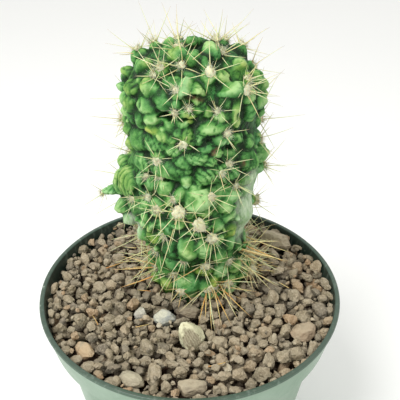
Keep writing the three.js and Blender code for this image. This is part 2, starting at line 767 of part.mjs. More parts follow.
const stoneSolids = {};
const stoneRooms = [];
Object.entries(stones).forEach(([name, stone], i) => {
  const shape = stoneSeed * (i + 1);
  stoneSolids[name] = stoneSolid(stone, 0, seeded(shape)).subtract(bodyRoom);
  stoneRooms.push(stoneSolid(stone, stoneClearance, seeded(shape)));
});

const stoneList = Object.values(stones);
const keepOut = (x, y, radius) =>
  insidePlant(x, y, plantShare * radius) ||
  stoneList.some(({ at, half }) => {
    const kept = stoneShare * Math.min(half[0], half[1]) + grainShare * radius;
    return Math.hypot(at[0] - x, at[1] - y) < kept;
  });
const bedPlate = turned(
  [
    [0, soilTop],
    [innerRadius(soilTop) - wallRoom, soilTop],
    [bedRadius, bedTop],
    [0, bedTop],
  ],
  fillSides,
);
const rooms = wasm.Manifold.union([bodyRoom, ...stoneRooms]);
const bed = largestBody(wasm.Manifold.union([bedPlate, ...grains(keepOut)]).subtract(rooms));
group.add(meshOf("gravel", bed, 0xa08d78, 0.9));
for (const [name, solid] of Object.entries(stoneSolids)) {
  group.add(meshOf(name, solid, stones[name].colour, 0.85));
}

const clutter = wasm.Manifold.union([bed, ...Object.values(stoneSolids)]);
const spineDraw = seeded(plantSeed + 4);
const spines = areoles.flatMap((areole) => areoleSpines(areole, lumps, spineDraw, clutter));
const cactus = wasm.Manifold.union([body, ...spines]);
group.add(meshOf("cactus", cactus, 0x5f9a52, 0.6));

export default group;
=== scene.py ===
# Looks of a crested echidne barrel cactus in a round nursery pot dressed with coarse grit.
# Metres, +Z up, the plant's front at -Y. Plant and pot sizes are listed in millimetres.
import json
import math

import bmesh
import bpy
import numpy as np
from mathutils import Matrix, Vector
from mathutils.bvhtree import BVHTree

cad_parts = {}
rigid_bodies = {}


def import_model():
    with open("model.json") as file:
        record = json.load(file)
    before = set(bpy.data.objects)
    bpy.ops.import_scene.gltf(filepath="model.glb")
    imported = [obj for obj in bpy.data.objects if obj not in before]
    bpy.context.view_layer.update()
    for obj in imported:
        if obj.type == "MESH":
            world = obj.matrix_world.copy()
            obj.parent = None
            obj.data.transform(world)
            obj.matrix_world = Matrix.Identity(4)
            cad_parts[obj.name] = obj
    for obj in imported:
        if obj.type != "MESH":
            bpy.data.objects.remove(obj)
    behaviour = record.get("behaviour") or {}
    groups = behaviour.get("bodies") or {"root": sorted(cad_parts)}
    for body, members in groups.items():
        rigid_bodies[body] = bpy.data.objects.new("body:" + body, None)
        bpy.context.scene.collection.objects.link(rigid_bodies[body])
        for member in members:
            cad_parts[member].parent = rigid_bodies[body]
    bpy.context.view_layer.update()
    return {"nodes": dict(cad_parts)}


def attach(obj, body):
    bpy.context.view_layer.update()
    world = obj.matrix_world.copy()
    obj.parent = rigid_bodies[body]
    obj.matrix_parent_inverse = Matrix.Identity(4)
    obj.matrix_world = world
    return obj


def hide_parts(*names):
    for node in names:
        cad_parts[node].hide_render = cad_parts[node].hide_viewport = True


for spare in [o for o in bpy.data.objects if o.name in ("Cube", "Light", "Camera")]:
    bpy.data.objects.remove(spare)
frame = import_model()
mm = 0.001


# Small helpers for arrays, meshes and noise.

def unitRows(rows):
    return rows / np.maximum(np.linalg.norm(rows, axis=-1, keepdims=True), 1e-12)


def between(values, start, end):
    # Nought at the start, one at the end, straight between them and level beyond them.
    return np.clip((values - start) / (end - start), 0, 1)


def buildMesh(name, points, *faceSets, smooth=True):
    # A mesh from an array of points and one or more arrays of equal-sided faces.
    mesh = bpy.data.meshes.new(name)
    mesh.vertices.add(len(points))
    mesh.vertices.foreach_set("co", np.asarray(points, np.float32).ravel())
    corners = np.concatenate([np.asarray(f, np.int32).ravel() for f in faceSets])
    sides = np.concatenate([np.full(len(f), np.shape(f)[1], np.int32) for f in faceSets])
    mesh.loops.add(len(corners))
    mesh.loops.foreach_set("vertex_index", corners)
    mesh.polygons.add(len(sides))
    mesh.polygons.foreach_set("loop_start", np.cumsum(sides, dtype=np.int32) - sides)
    mesh.update(calc_edges=True)
    mesh.shade_smooth() if smooth else mesh.shade_flat()
    return mesh


def triangles(mesh):
    return len(mesh.loops) - 2 * len(mesh.polygons)


def addPiece(name, mesh, slot, *replaced):
    piece = bpy.data.objects.new(name, mesh)
    bpy.context.scene.collection.objects.link(piece)
    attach(piece, "root")
    if replaced:
        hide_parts(*replaced)
    return piece


def paint(mesh, label, values):
    # Keeps one number per vertex, for a material to read by its name.
    layer = mesh.attributes.new(label, "FLOAT", "POINT")
    layer.data.foreach_set("value", np.asarray(values, np.float32))


def meshPoints(mesh):
    flat = np.empty(len(mesh.vertices) * 3, np.float32)
    mesh.vertices.foreach_get("co", flat)
    return flat.reshape(-1, 3).astype(float)


def applied(piece):
    # The piece's mesh with its modifiers in it, and the modifiers gone.
    graph = bpy.context.evaluated_depsgraph_get()
    mesh = bpy.data.meshes.new_from_object(piece.evaluated_get(graph))
    old = piece.data
    piece.modifiers.clear()
    piece.data = mesh
    bpy.data.meshes.remove(old)
    return mesh


# Large primes and the numbers of a common congruential generator, which scatter a grid corner's value.
scatter = {"x": 73856093, "y": 19349663, "z": 83492791, "seed": 265443, "factor": 1103515245, "step": 12345}


def softNoise(points, size, seed):
    # Random values at the corners of a grid of cubes, blended between them: about -1 to 1.
    p = points / size + 0.37 * seed
    cell = np.floor(p).astype(np.int64)
    t = p - cell
    t = t * t * (3 - 2 * t)
    total = 0.0
    for corner in np.ndindex(2, 2, 2):
        c = cell + corner
        h = (c[:, 0] * scatter["x"]) ^ (c[:, 1] * scatter["y"]) ^ (c[:, 2] * scatter["z"])
        h = h ^ (seed * scatter["seed"])
        h = (((h & 0xFFFFFF) * scatter["factor"] + scatter["step"]) >> 8) & 0xFFFF
        weight = np.prod(np.where(np.array(corner) == 1, t, 1 - t), axis=1)
        total = total + weight * (h / 32767.5 - 1)
    return total


def ballTemplate(level):
    # Points and triangles of an icosphere of radius 1.
    ball = bmesh.new()
    bmesh.ops.create_icosphere(ball, subdivisions=level, radius=1.0)
    points = np.array([v.co[:] for v in ball.verts])
    faces = np.array([[v.index for v in f.verts] for f in ball.faces])
    ball.free()
    return unitRows(points), faces


def ringQuads(rings, sides):
    # The four-sided faces between closed rings of points.
    i, k = np.meshgrid(np.arange(rings - 1), np.arange(sides), indexing="ij")
    a, b = i * sides + k, i * sides + (k + 1) % sides
    return np.stack([a, b, b + sides, a + sides], -1).reshape(-1, 4)


def endFans(rings, sides):
    # The triangles that close the first and the last ring on the two points that follow the rings.
    near, far = np.arange(sides), np.arange(sides) + (rings - 1) * sides
    root = np.stack([np.roll(near, -1), near, np.full(sides, rings * sides)], -1)
    tip = np.stack([far, np.roll(far, -1), np.full(sides, rings * sides + 1)], -1)
    return np.concatenate([root, tip])


def repeated(faces, count, size):
    # The faces of one copy for each of count copies that have size points.
    step = (np.arange(count) * size)[:, None, None]
    return (faces[None] + step).reshape(-1, faces.shape[1])


def sweptTubes(paths, radii, sides):
    # Many round tubes: each ring is its path point plus radius times (cos, sin) across the path.
    count, rings = radii.shape
    along = unitRows(paths[:, -1] - paths[:, 0])
    helper = np.where(np.abs(along[:, 2:]) > 0.9, [[1.0, 0.0, 0.0]], [[0.0, 0.0, 1.0]])
    across = unitRows(np.cross(along, helper))
    upward = np.cross(along, across)
    angle = np.arange(sides) * 2 * math.pi / sides
    ring = across[:, None] * np.cos(angle)[:, None] + upward[:, None] * np.sin(angle)[:, None]
    points = paths[:, :, None] + radii[:, :, None, None] * ring[:, None]
    points = points.reshape(count, rings * sides, 3)
    points = np.concatenate([points, paths[:, :1], paths[:, -1:]], axis=1)
    quads = repeated(ringQuads(rings, sides), count, rings * sides + 2)
    ends = repeated(endFans(rings, sides), count, rings * sides + 2)
    share = np.repeat(np.linspace(0, 1, rings), sides)
    share = np.tile(np.concatenate([share, [0.0, 1.0]]), count)
    return points.reshape(-1, 3), quads, ends, share


# Shader helpers.

def newMaterial(name):
    material = bpy.data.materials.new(name)
    material.use_nodes = True
    return material, material.node_tree, material.node_tree.nodes["Principled BSDF"]


def fill(tree, node, values):
    # Each value goes to the input of its name or number: as a link from another node's output, or as it is.
    for key, value in values.items():
        if isinstance(value, bpy.types.NodeSocket):
            tree.links.new(value, node.inputs[key])
        else:
            node.inputs[key].default_value = value


def addNode(tree, kind, settings=None, **inputs):
    # An input's key is its name, or i and its number.
    node = tree.nodes.new(kind)
    for key, value in (settings or {}).items():
        setattr(node, key, value)
    fill(tree, node, {int(k[1:]) if k[1:].isdigit() else k: value for k, value in inputs.items()})
    return node


def colour(red, green, blue):
    # A colour named by its 0-255 screen values, as the linear light that a shader needs.
    linear = [c / 3294.6 if c <= 10.31 else ((c / 255 + 0.055) / 1.055) ** 2.4 for c in (red, green, blue)]
    return (*linear, 1.0)


def mathNode(tree, operation, first, second=0.0, clamp=False):
    node = addNode(tree, "ShaderNodeMath", {"operation": operation, "use_clamp": clamp}, i0=first, i1=second)
    return node.outputs[0]


def times(tree, first, second, clamp=False):
    return mathNode(tree, "MULTIPLY", first, second, clamp)


def plus(tree, first, second, clamp=False):
    return mathNode(tree, "ADD", first, second, clamp)


def blendColours(tree, share, first, second, kind="MIX"):
    node = addNode(tree, "ShaderNodeMix", {"data_type": "RGBA", "blend_type": kind}, i0=share, i6=first, i7=second)
    return node.outputs[2]


def layered(tree, tone, *layers):
    # Each layer is a share and the colour that it lays over those below it.
    for share, over in layers:
        tone = blendColours(tree, share, tone, over)
    return tone


def rescale(tree, value, low, high, newLow=0.0, newHigh=1.0):
    node = addNode(tree, "ShaderNodeMapRange", None, i0=value, i1=low, i2=high, i3=newLow, i4=newHigh)
    return node.outputs[0]


def noise(tree, place, scale, detail=3.0, rough=0.5, warp=0.0):
    node = addNode(tree, "ShaderNodeTexNoise", None, Vector=place, Scale=scale, Detail=detail, Roughness=rough,
                   Distortion=warp)
    return node.outputs["Fac"]


def attribute(tree, label):
    return addNode(tree, "ShaderNodeAttribute", {"attribute_name": label}).outputs["Fac"]


def objectPlace(tree):
    return addNode(tree, "ShaderNodeTexCoord").outputs["Object"]


def ramp(tree, value, stops, mode="LINEAR"):
    node = addNode(tree, "ShaderNodeValToRGB", None, Fac=value)
    band = node.color_ramp
    band.interpolation = mode
    while len(band.elements) < len(stops):
        band.elements.new(0.5)
    for element, (place, tone) in zip(band.elements, stops):
        element.position = place
        element.color = tone
    return node.outputs["Color"]


def bump(tree, height, strength, distance):
    return addNode(tree, "ShaderNodeBump", None, Strength=strength, Distance=distance, Height=height).outputs[0]


def effectGroup(name, inputs, outputs):
    tree = bpy.data.node_groups.new(name, "ShaderNodeTree")
    for label, value in inputs.items():
        socket = tree.interface.new_socket(label, in_out="INPUT", socket_type="NodeSocketFloat")
        socket.default_value = value
    for label in outputs:
        tree.interface.new_socket(label, in_out="OUTPUT", socket_type="NodeSocketFloat")
    return tree, tree.nodes.new("NodeGroupInput"), tree.nodes.new("NodeGroupOutput")


def useGroup(tree, group, **values):
    node = tree.nodes.new("ShaderNodeGroup")
    node.node_tree = group
    fill(tree, node, values)
    return node


# Broken stone: detail and roughness of its noises, the coarse one's and the cells' share of the fine one's scale,
# how far a pit reaches in its cell, and the ranges that count as speckle and blotch.
grainLook = {
    "fine": (4.0, 0.65), "coarse": (5.0, 0.6, 0.6), "coarseScale": 0.22, "cellScale": 0.7, "pitReach": 0.45,
    "speckle": (0.38, 0.66), "blotch": (0.35, 0.66),
}


def makeStoneGrain():
    # Speckles, pits and a rough height, as broken stone has. Sizes are grains per metre.
    group, start, end = effectGroup("stoneGrain", {"Size": 900.0, "Pits": 0.5}, ["Speckle", "Blotch", "Height"])
    place, size = objectPlace(group), start.outputs["Size"]
    fine = noise(group, place, size, *grainLook["fine"])
    coarse = noise(group, place, times(group, size, grainLook["coarseScale"]), *grainLook["coarse"])
    cells = addNode(group, "ShaderNodeTexVoronoi", None, Vector=place,
                    Scale=times(group, size, grainLook["cellScale"])).outputs["Distance"]
    pits = times(group, rescale(group, cells, 0.0, grainLook["pitReach"], 1.0, 0.0), start.outputs["Pits"])
    fill(group, end, {
        "Speckle": rescale(group, fine, *grainLook["speckle"]),
        "Blotch": rescale(group, coarse, *grainLook["blotch"]),
        "Height": mathNode(group, "SUBTRACT", plus(group, fine, coarse), pits),
    })
    return group


def makeDust():
    # Dust that lies where a face looks up, broken by noise.
    group, start, end = effectGroup("dustFilm", {"Amount": 0.5, "Size": 220.0}, ["Dust"])
    facing = addNode(group, "ShaderNodeNewGeometry").outputs["Normal"]
    upward = addNode(group, "ShaderNodeSeparateXYZ", None, Vector=facing).outputs["Z"]
    patches = noise(group, objectPlace(group), start.outputs["Size"], 4.0, 0.6)
    lying = rescale(group, upward, 0.1, 0.95)
    amount = times(group, times(group, lying, patches), start.outputs["Amount"], True)
    fill(group, end, {"Dust": amount})
    return group


stoneGrain = makeStoneGrain()
dustFilm = makeDust()
print("helpers and shared effects ready")


# The pot: a tapered wall with a wider collar, its floor raised on a foot ring and pierced by drain holes.
pot = {
    "steps": 160, "curveSteps": 4, "sharpAbove": 34,
    "holes": 6, "holeRadius": 3.5, "holeCircle": 30, "holeSides": 28,
    # The drill's ends, and the heights over which the painted shadow under the lip comes in.
    "drillEnds": (-5, 10), "lipShadowHeights": (0.1058, 0.1064),
    # The middle of the wall, where the pale outer colour, a painted reflection, gives way to the dark inner one,
    # painted shade: heights and radii.
    "wallMiddle": ([0, 4, 91.2, 93.6, 108], [41, 47.6, 61, 65.4, 68.4]), "blend": 0.4, "floorTop": 3,
    "lipFrom": 107.3, "lipBlend": 0.5,
    # The lip shows the plastic's own dark green; the pale outside colour is a painted reflection of the white floor,
    # the near-black inside colour painted shade.
    "outside": colour(124, 152, 128), "inside": colour(10, 27, 21), "lip": colour(50, 76, 64),
    # The painted shadow under the lip, then the chalk of dried drops.
    "lipShadow": colour(30, 58, 44), "chalk": colour(206, 220, 206),
    "cloudTone": colour(196, 208, 198), "dustTone": colour(150, 142, 122),
    # Noises: scale, detail and roughness. Shares: the range read and the range given.
    "stretch": 0.12, "streaks": (420.0, 4.0, 0.6), "clouds": (45.0, 5.0, 0.6), "peel": (1500.0, 2.0, 0.5),
    "drops": 210.0, "dropPatches": (70.0, 2.0, 0.5), "dropRing": (0.10, 0.19, 1.0, 0.0), "dropShare": (0.52, 0.68),
    "lipShadowShare": 0.85, "cloudShare": (0.3, 0.75, 0.0, 0.35), "chalkShare": 0.34,
    "streakShare": (0.55, 0.8, 0.0, 0.16), "dust": {"Amount": 0.35, "Size": 260.0},
    "dustShare": (0.0, 1.0, 0.6, 0.25), "rough": (0.3, 0.7, 0.30, 0.46), "chalkRough": 0.5, "streakPeel": 1.5,
    "bump": (0.16, 0.0003),
    # Radius, height and the reach of the rounding at that corner.
    "corners": [
        (0, 2.2, 0), (41, 2.2, 0.5), (42.6, 0.0, 0.3), (47.2, 0.0, 0.4), (48, 0.8, 0.4),
        (62, 92, 0.9), (66.4, 92.5, 0.6), (69.5, 106.4, 0.3), (70, 106.9, 0.3), (69.7, 108, 0.4),
        (67.8, 108, 0.6), (64.8, 93.6, 0.8), (60.4, 91.2, 1.0), (47, 4, 1.6), (0, 4, 0),
    ],
}


def filleted(corners, steps):
    # Each corner becomes the curve (1-t)^2 a + 2t(1-t) corner + t^2 b between points a and b on its legs.
    line = [np.array(corners[0][:2], float)]
    t = np.linspace(0, 1, steps + 1)[:, None]
    for before, here, after in zip(corners[:-2], corners[1:-1], corners[2:]):
        at = np.array(here[:2], float)
        a = at + here[2] * unitRows(np.array(before[:2]) - at)
        b = at + here[2] * unitRows(np.array(after[:2]) - at)
        line.extend((1 - t) ** 2 * a + 2 * t * (1 - t) * at + t**2 * b)
    line.append(np.array(corners[-1][:2], float))
    return np.array(line)


def turnedSolid(line, steps):
    # A profile carried round the Z axis, radius times (cos, sin) of the angle, and closed on the axis.
    angle = np.arange(steps) * 2 * math.pi / steps
    x = line[1:-1, :1] * np.cos(angle)
    y = line[1:-1, :1] * np.sin(angle)
    z = np.broadcast_to(line[1:-1, 1:], x.shape)
    points = np.stack([x, y, z], -1).reshape(-1, 3)
    poles = [[0, 0, line[0, 1]], [0, 0, line[-1, 1]]]
    return np.concatenate([points, poles]), ringQuads(len(x), steps), endFans(len(x), steps)


def makePot():
    points, quads, fans = turnedSolid(filleted(pot["corners"], pot["curveSteps"]), pot["steps"])
    piece = addPiece("potShell", buildMesh("potShell", points * mm, quads, fans), "pot", "pot")
    angle = np.arange(pot["holes"]) * 2 * math.pi / pot["holes"]
    foot = np.stack([np.cos(angle), np.sin(angle), 0 * angle], -1) * pot["holeCircle"]
    paths = np.stack([foot + [0, 0, end] for end in pot["drillEnds"]], 1)
    radii = np.full(paths.shape[:2], pot["holeRadius"])
    drill, sides, ends, _ = sweptTubes(paths * mm, radii * mm, pot["holeSides"])
    cutter = bpy.data.objects.new("drill", buildMesh("drill", drill, sides, ends))
    bpy.context.scene.collection.objects.link(cutter)
    cut = piece.modifiers.new("holes", "BOOLEAN")
    cut.object = cutter
    cut.solver = "EXACT"
    mesh = applied(piece)
    bpy.data.meshes.remove(cutter.data)
    mesh.shade_smooth()
    mesh.set_sharp_from_angle(angle=math.radians(pot["sharpAbove"]))
    place = meshPoints(mesh) / mm
    radius = np.hypot(place[:, 0], place[:, 1])
    within = np.interp(place[:, 2], *pot["wallMiddle"]) - radius
    # The inside share: where the wall takes the inside colour, darkened with painted shade.
    paint(mesh, "inside", np.clip(within / pot["blend"] + 0.5, 0, 1) * (place[:, 2] > pot["floorTop"]))
    paint(mesh, "lip", np.clip((place[:, 2] - pot["lipFrom"]) / pot["lipBlend"], 0, 1))
    return mesh


def potMaterial():
    material, tree, shader = newMaterial("pottedPlastic")
    place = objectPlace(tree)
    inside = attribute(tree, "inside")
    lip = attribute(tree, "lip")
    height = addNode(tree, "ShaderNodeSeparateXYZ", None, Vector=place).outputs["Z"]
    flow = addNode(tree, "ShaderNodeMapping", None, Vector=place, Scale=(1.0, 1.0, pot["stretch"])).outputs[0]
    streaks = noise(tree, flow, *pot["streaks"])
    clouds = noise(tree, place, *pot["clouds"])
    outer = mathNode(tree, "SUBTRACT", 1.0, mathNode(tree, "MAXIMUM", lip, inside), True)
    # A painted shadow in a band under the lip's bead, on the outer wall.
    underLipShadow = times(tree, rescale(tree, height, *pot["lipShadowHeights"]), outer)
    # Chalk left by dried drops of water: small rings and specks, thickest under the lip.
    drops = addNode(tree, "ShaderNodeTexVoronoi", None, Vector=place, Scale=pot["drops"], Randomness=1.0)
    ring = rescale(tree, drops.outputs["Distance"], *pot["dropRing"])
    few = rescale(tree, noise(tree, place, *pot["dropPatches"]), *pot["dropShare"])
    chalk = times(tree, times(tree, ring, few), pot["chalkShare"])
    chalk = plus(tree, chalk, rescale(tree, streaks, *pot["streakShare"]), True)
    dust = useGroup(tree, dustFilm, **pot["dust"])
    dusty = times(tree, dust.outputs["Dust"], rescale(tree, inside, *pot["dustShare"]))
    # The outside carries a painted reflection, the inside painted shade, the lip the plastic's own colour, and a band
    # under the lip a painted shadow.
    tone = layered(tree, pot["outside"], (inside, pot["inside"]), (lip, pot["lip"]),
                   (times(tree, underLipShadow, pot["lipShadowShare"]), pot["lipShadow"]))
    clouded = blendColours(tree, 1.0, tone, pot["cloudTone"], "MULTIPLY")
    tone = layered(tree, tone, (rescale(tree, clouds, *pot["cloudShare"]), clouded), (chalk, pot["chalk"]),
                   (dusty, pot["dustTone"]))
    rough = plus(tree, rescale(tree, clouds, *pot["rough"]), times(tree, chalk, pot["chalkRough"]))
    peel = plus(tree, noise(tree, place, *pot["peel"]), times(tree, streaks, pot["streakPeel"]))
    fill(tree, shader, {"Base Color": tone, "Roughness": rough, "Specular IOR Level": 0.5,
                        "Normal": bump(tree, peel, *pot["bump"])})
    return material


potMesh = makePot()
potMesh.materials.clear()
potMesh.materials.append(potMaterial())
print("pot:", triangles(potMesh), "triangles")


# The soil under the dressing keeps its CAD solid: fibrous peat with grit in it.
soil = {
    "crumbs": 520.0, "stretch": (1.0, 4.0, 2.0), "threads": (900.0, 5.0, 0.7, 0.8), "patches": (160.0, 5.0, 0.65),
    "tones": [(0.28, colour(34, 24, 17)), (0.5, colour(66, 48, 34)), (0.66, colour(92, 70, 50)),
              (0.8, colour(132, 112, 88))],
    "threadShare": (0.58, 0.74, 0.0, 0.5), "threadTone": colour(120, 92, 62), "threadHeight": 0.6,
    "roughness": 0.95, "bump": (0.7, 0.0012),
}


def soilMaterial():
    material, tree, shader = newMaterial("pottingSoil")
    place = objectPlace(tree)
    crumbs = addNode(tree, "ShaderNodeTexVoronoi", None, Vector=place, Scale=soil["crumbs"]).outputs["Distance"]
    fibres = addNode(tree, "ShaderNodeMapping", None, Vector=place, Scale=soil["stretch"]).outputs[0]
    threads = noise(tree, fibres, *soil["threads"])
    tone = ramp(tree, noise(tree, place, *soil["patches"]), soil["tones"])
    tone = blendColours(tree, rescale(tree, threads, *soil["threadShare"]), tone, soil["threadTone"])
    height = plus(tree, crumbs, times(tree, threads, soil["threadHeight"]))
    fill(tree, shader, {"Base Color": tone, "Roughness": soil["roughness"],
                        "Normal": bump(tree, height, *soil["bump"])})
    return material


peat = soilMaterial()
for place in frame["nodes"]["soil"].material_slots:
    place.material = peat


# The larger stones, each where its CAD solid lies: middle, half sizes, turn, tilt.
stoneLook = {
    "facets": 9, "facetDepth": (0.72, 0.98), "facetReach": 0.2, "seed": 23,
    "ball": 5, "uneven": 0.045, "unevenSize": 0.5, "pitting": 0.03, "pitSize": 0.13,
    "chips": 30, "chipDepth": (0.74, 0.95), "chipSeed": 60, "sharpAbove": 26,
    # The weathered core that shows in the cream stone's shell: middle in the picture's directions from the
    # stone's own, half length, half width, turn from level, and how deep it is worn back.
    "coreStone": "stone_cream", "corePlace": (0.9, -2.5), "coreHalf": (7.4, 3.3), "coreTurn": -60,
    "coreDepth": 0.8, "coreWay": (0.0, -0.714, 0.7), "coreRib": 1.1,
    # Its edge: where it ends and over what width. How far noise of a size moves it and its ribs. How much the
    # ribs change the depth and the tone.
    "coreEnd": 1.08, "coreFade": 0.16, "coreWander": (0.22, 1.6), "ribWander": (1.4, 1.2),
    "ribDepth": 0.4, "ribTone": 0.45, "coreTone": colour(112, 100, 78),
    "grain": {"Size": 1100.0, "Pits": 0.5}, "dust": {"Amount": 0.55, "Size": 300.0},
    "dustTone": colour(196, 188, 162), "stain": (150.0, 4.0, 0.6, 1.2), "stainShare": (0.5, 0.66),
    "stainDepth": 0.7, "speckleShare": (0.55, 1.0, 0.0, 0.4), "roughness": 0.86, "bump": (0.55, 0.0005),
    "stones": {
        "stone_cream": ((0.9, -31.8, 104.2), (6.2, 5.6, 8.6), 55, -36,
                        colour(222, 220, 184), colour(206, 202, 164), colour(152, 146, 116)),
        "stone_grey": ((44.5, 38.5, 105.8), (9.8, 6, 5.2), -35, 6,
                       colour(188, 174, 148), colour(160, 146, 120), colour(118, 104, 84)),
        "stone_rust": ((-0.4, -14.4, 103), (6, 5, 4), 5, -10,
                       colour(128, 114, 92), colour(108, 94, 76), colour(78, 66, 54)),
        "stone_mottled": ((-11.3, -18, 103.2), (5.4, 4.4, 4), -20, 6,
                          colour(204, 204, 184), colour(160, 164, 160), colour(112, 122, 132)),
        "stone_white": ((-22.4, -16, 103.4), (3.2, 3, 4.2), 40, 12,
                        colour(206, 204, 194), colour(176, 172, 158), colour(146, 138, 122)),
        "stone_tan": ((50, -27.5, 103.2), (6.6, 5.4, 3.8), 30, 5,
                      colour(170, 148, 122), colour(148, 126, 100), colour(114, 96, 76)),
        "stone_slab": ((-44.5, -38.5, 103), (6, 3.8, 2.8), -49, 10,
                       colour(184, 154, 116), colour(158, 132, 100), colour(116, 96, 74)),
        "stone_buff": ((1.5, -58.5, 103.2), (6.6, 4.4, 3.8), 0, 4,
                       colour(166, 152, 126), colour(142, 128, 106), colour(106, 94, 78)),
        "stone_pale": ((-22.8, -54.5, 103.2), (6, 3.6, 3.4), -22, -6,
                       colour(176, 166, 142), colour(152, 142, 118), colour(114, 104, 86)),
    },
}


def seededDraw(seed):
    # A repeatable draw between 0 and 1, the minimal standard generator.
    state, factor, modulus = [seed], 16807, 2147483647

    def draw():
        state[0] = state[0] * factor % modulus
        return state[0] / modulus

    return draw


def chipped(directions, facings, depths, least):
    # Radius of a broken stone along a direction: the nearest cut, depth over the cosine to its facing.
    share = np.einsum("vi,nki->nvk", directions, facings)
    reach = np.where(share > least, depths[:, None] / np.maximum(share, least), 1.0)
    return np.minimum(reach.min(axis=2), 1.0)


def turnsAbout(axis, angles):
    # Turn matrices about one coordinate axis.
    c, s = np.cos(angles), np.sin(angles)
    i, k = (axis + 1) % 3, (axis + 2) % 3
    turns = np.zeros((len(angles), 3, 3))
    turns[:, axis, axis] = 1
    turns[:, i, i], turns[:, k, k] = c, c
    turns[:, i, k], turns[:, k, i] = -s, s
    return turns


def stoneMaterial(name, light, middle, dark):
    material, tree, shader = newMaterial(name)
    grain = useGroup(tree, stoneGrain, **stoneLook["grain"])
    dust = useGroup(tree, dustFilm, **stoneLook["dust"])
    stain = rescale(tree, noise(tree, objectPlace(tree), *stoneLook["stain"]), *stoneLook["stainShare"])
    tone = layered(
        tree, blendColours(tree, grain.outputs["Blotch"], middle, light),
        (times(tree, stain, stoneLook["stainDepth"]), dark),
        (rescale(tree, grain.outputs["Speckle"], *stoneLook["speckleShare"]), light),
        (attribute(tree, "core"), stoneLook["coreTone"]),
        (dust.outputs["Dust"], stoneLook["dustTone"]),
    )
    fill(tree, shader, {"Base Color": tone, "Roughness": stoneLook["roughness"],
                        "Normal": bump(tree, grain.outputs["Height"], *stoneLook["bump"])})
    return material


def coreShare(points, at):
    # One inside an ellipse on the side that faces the picture, and the place along and across it.
    way = np.array(stoneLook["coreWay"])
    up = np.cross((1.0, 0.0, 0.0), way)
    offset = points - at
    flat = np.stack([offset[:, 0], -offset @ up], -1) - stoneLook["corePlace"]
    c, s = math.cos(math.radians(stoneLook["coreTurn"])), math.sin(math.radians(stoneLook["coreTurn"]))
    along, across = flat[:, 0] * c + flat[:, 1] * s, flat[:, 1] * c - flat[:, 0] * s
    wander, size = stoneLook["coreWander"]
    halfLength, halfWidth = stoneLook["coreHalf"]
    far = np.hypot(along / halfLength, across / halfWidth) + wander * softNoise(points, size, 31)
    return np.clip((stoneLook["coreEnd"] - far) / stoneLook["coreFade"], 0, 1) * (offset @ way > 0), across


def makeStones():
    directions, faces = ballTemplate(stoneLook["ball"])
    least = stoneLook["facetReach"]
    for number, (name, (at, half, turn, tilt, *tones)) in enumerate(stoneLook["stones"].items()):
        draw = seededDraw(stoneLook["seed"] * (number + 1))
        facings, depths = [], []
        for _ in range(stoneLook["facets"]):
            height, angle = 2 * draw() - 1, 2 * math.pi * draw()
            ring = math.sqrt(1 - height * height)
            facings.append((ring * math.cos(angle), ring * math.sin(angle), height))
            nearest, farthest = stoneLook["facetDepth"]
            depths.append(nearest + (farthest - nearest) * draw())
        radius = chipped(directions, np.array([facings]), np.array([depths]), least)[0]
        random = np.random.default_rng(stoneLook["chipSeed"] + number)
        small = unitRows(random.normal(size=(1, stoneLook["chips"], 3)))
        smallDepths = random.uniform(*stoneLook["chipDepth"], (1, stoneLook["chips"]))
        radius = np.minimum(radius, chipped(directions, small, smallDepths, least)[0])
        radius = radius + stoneLook["uneven"] * softNoise(directions, stoneLook["unevenSize"], 3 + number)
        radius = radius + stoneLook["pitting"] * softNoise(directions, stoneLook["pitSize"], 11 + number)
        placed = (turnsAbout(2, np.radians([turn])) @ turnsAbout(0, np.radians([tilt])))[0]
        points = (directions * radius[:, None] * half) @ placed.T + at
        core = np.zeros(len(points))
        if name == stoneLook["coreStone"]:
            core, across = coreShare(points, np.array(at))
            wander, size = stoneLook["ribWander"]
            wave = math.pi * across / stoneLook["coreRib"] + wander * softNoise(points, size, 33)
            ribs = np.abs(np.sin(wave))
            worn = stoneLook["coreDepth"] * core * (1 - stoneLook["ribDepth"] + stoneLook["ribDepth"] * ribs)
            points = points - worn[:, None] * np.array(stoneLook["coreWay"])
            core = core * (1 - stoneLook["ribTone"] + stoneLook["ribTone"] * ribs)
        mesh = buildMesh(name + "Rock", points * mm, faces)
        mesh.set_sharp_from_angle(angle=math.radians(stoneLook["sharpAbove"]))
        paint(mesh, "core", core)
        mesh.materials.append(stoneMaterial(name + "Rock", *tones))
        addPiece(name + "Rock", mesh, name, name)


makeStones()
print("stones:", len(stoneLook["stones"]))


# Outline of the body without its tubercles: height, left, right, front and back edge, in millimetres.
stations = np.array([
    (84, -10, 18, 0, 22), (94, -14, 22, -1, 25), (102, -17, 25, -3, 27), (110, -18, 27, -6, 30),
    (120, -18, 26, -9, 32), (132, -21, 25, -11, 33), (143, -26, 26, -13, 34), (153, -29, 28, -13, 34),
    (163, -29, 30, -12, 34), (172, -25, 30, -11, 33), (180, -24, 29, -11, 33), (188, -24, 28, -10, 33),
    (196, -26, 29, -10, 33), (204, -25, 29, -9, 33), (211, -21, 25, -5, 30), (217, -13, 17, 3, 24),
    (220, -6, 10, 9, 18), (221, -1, 5, 12, 15.5),
], float)
crownTop = 221.3

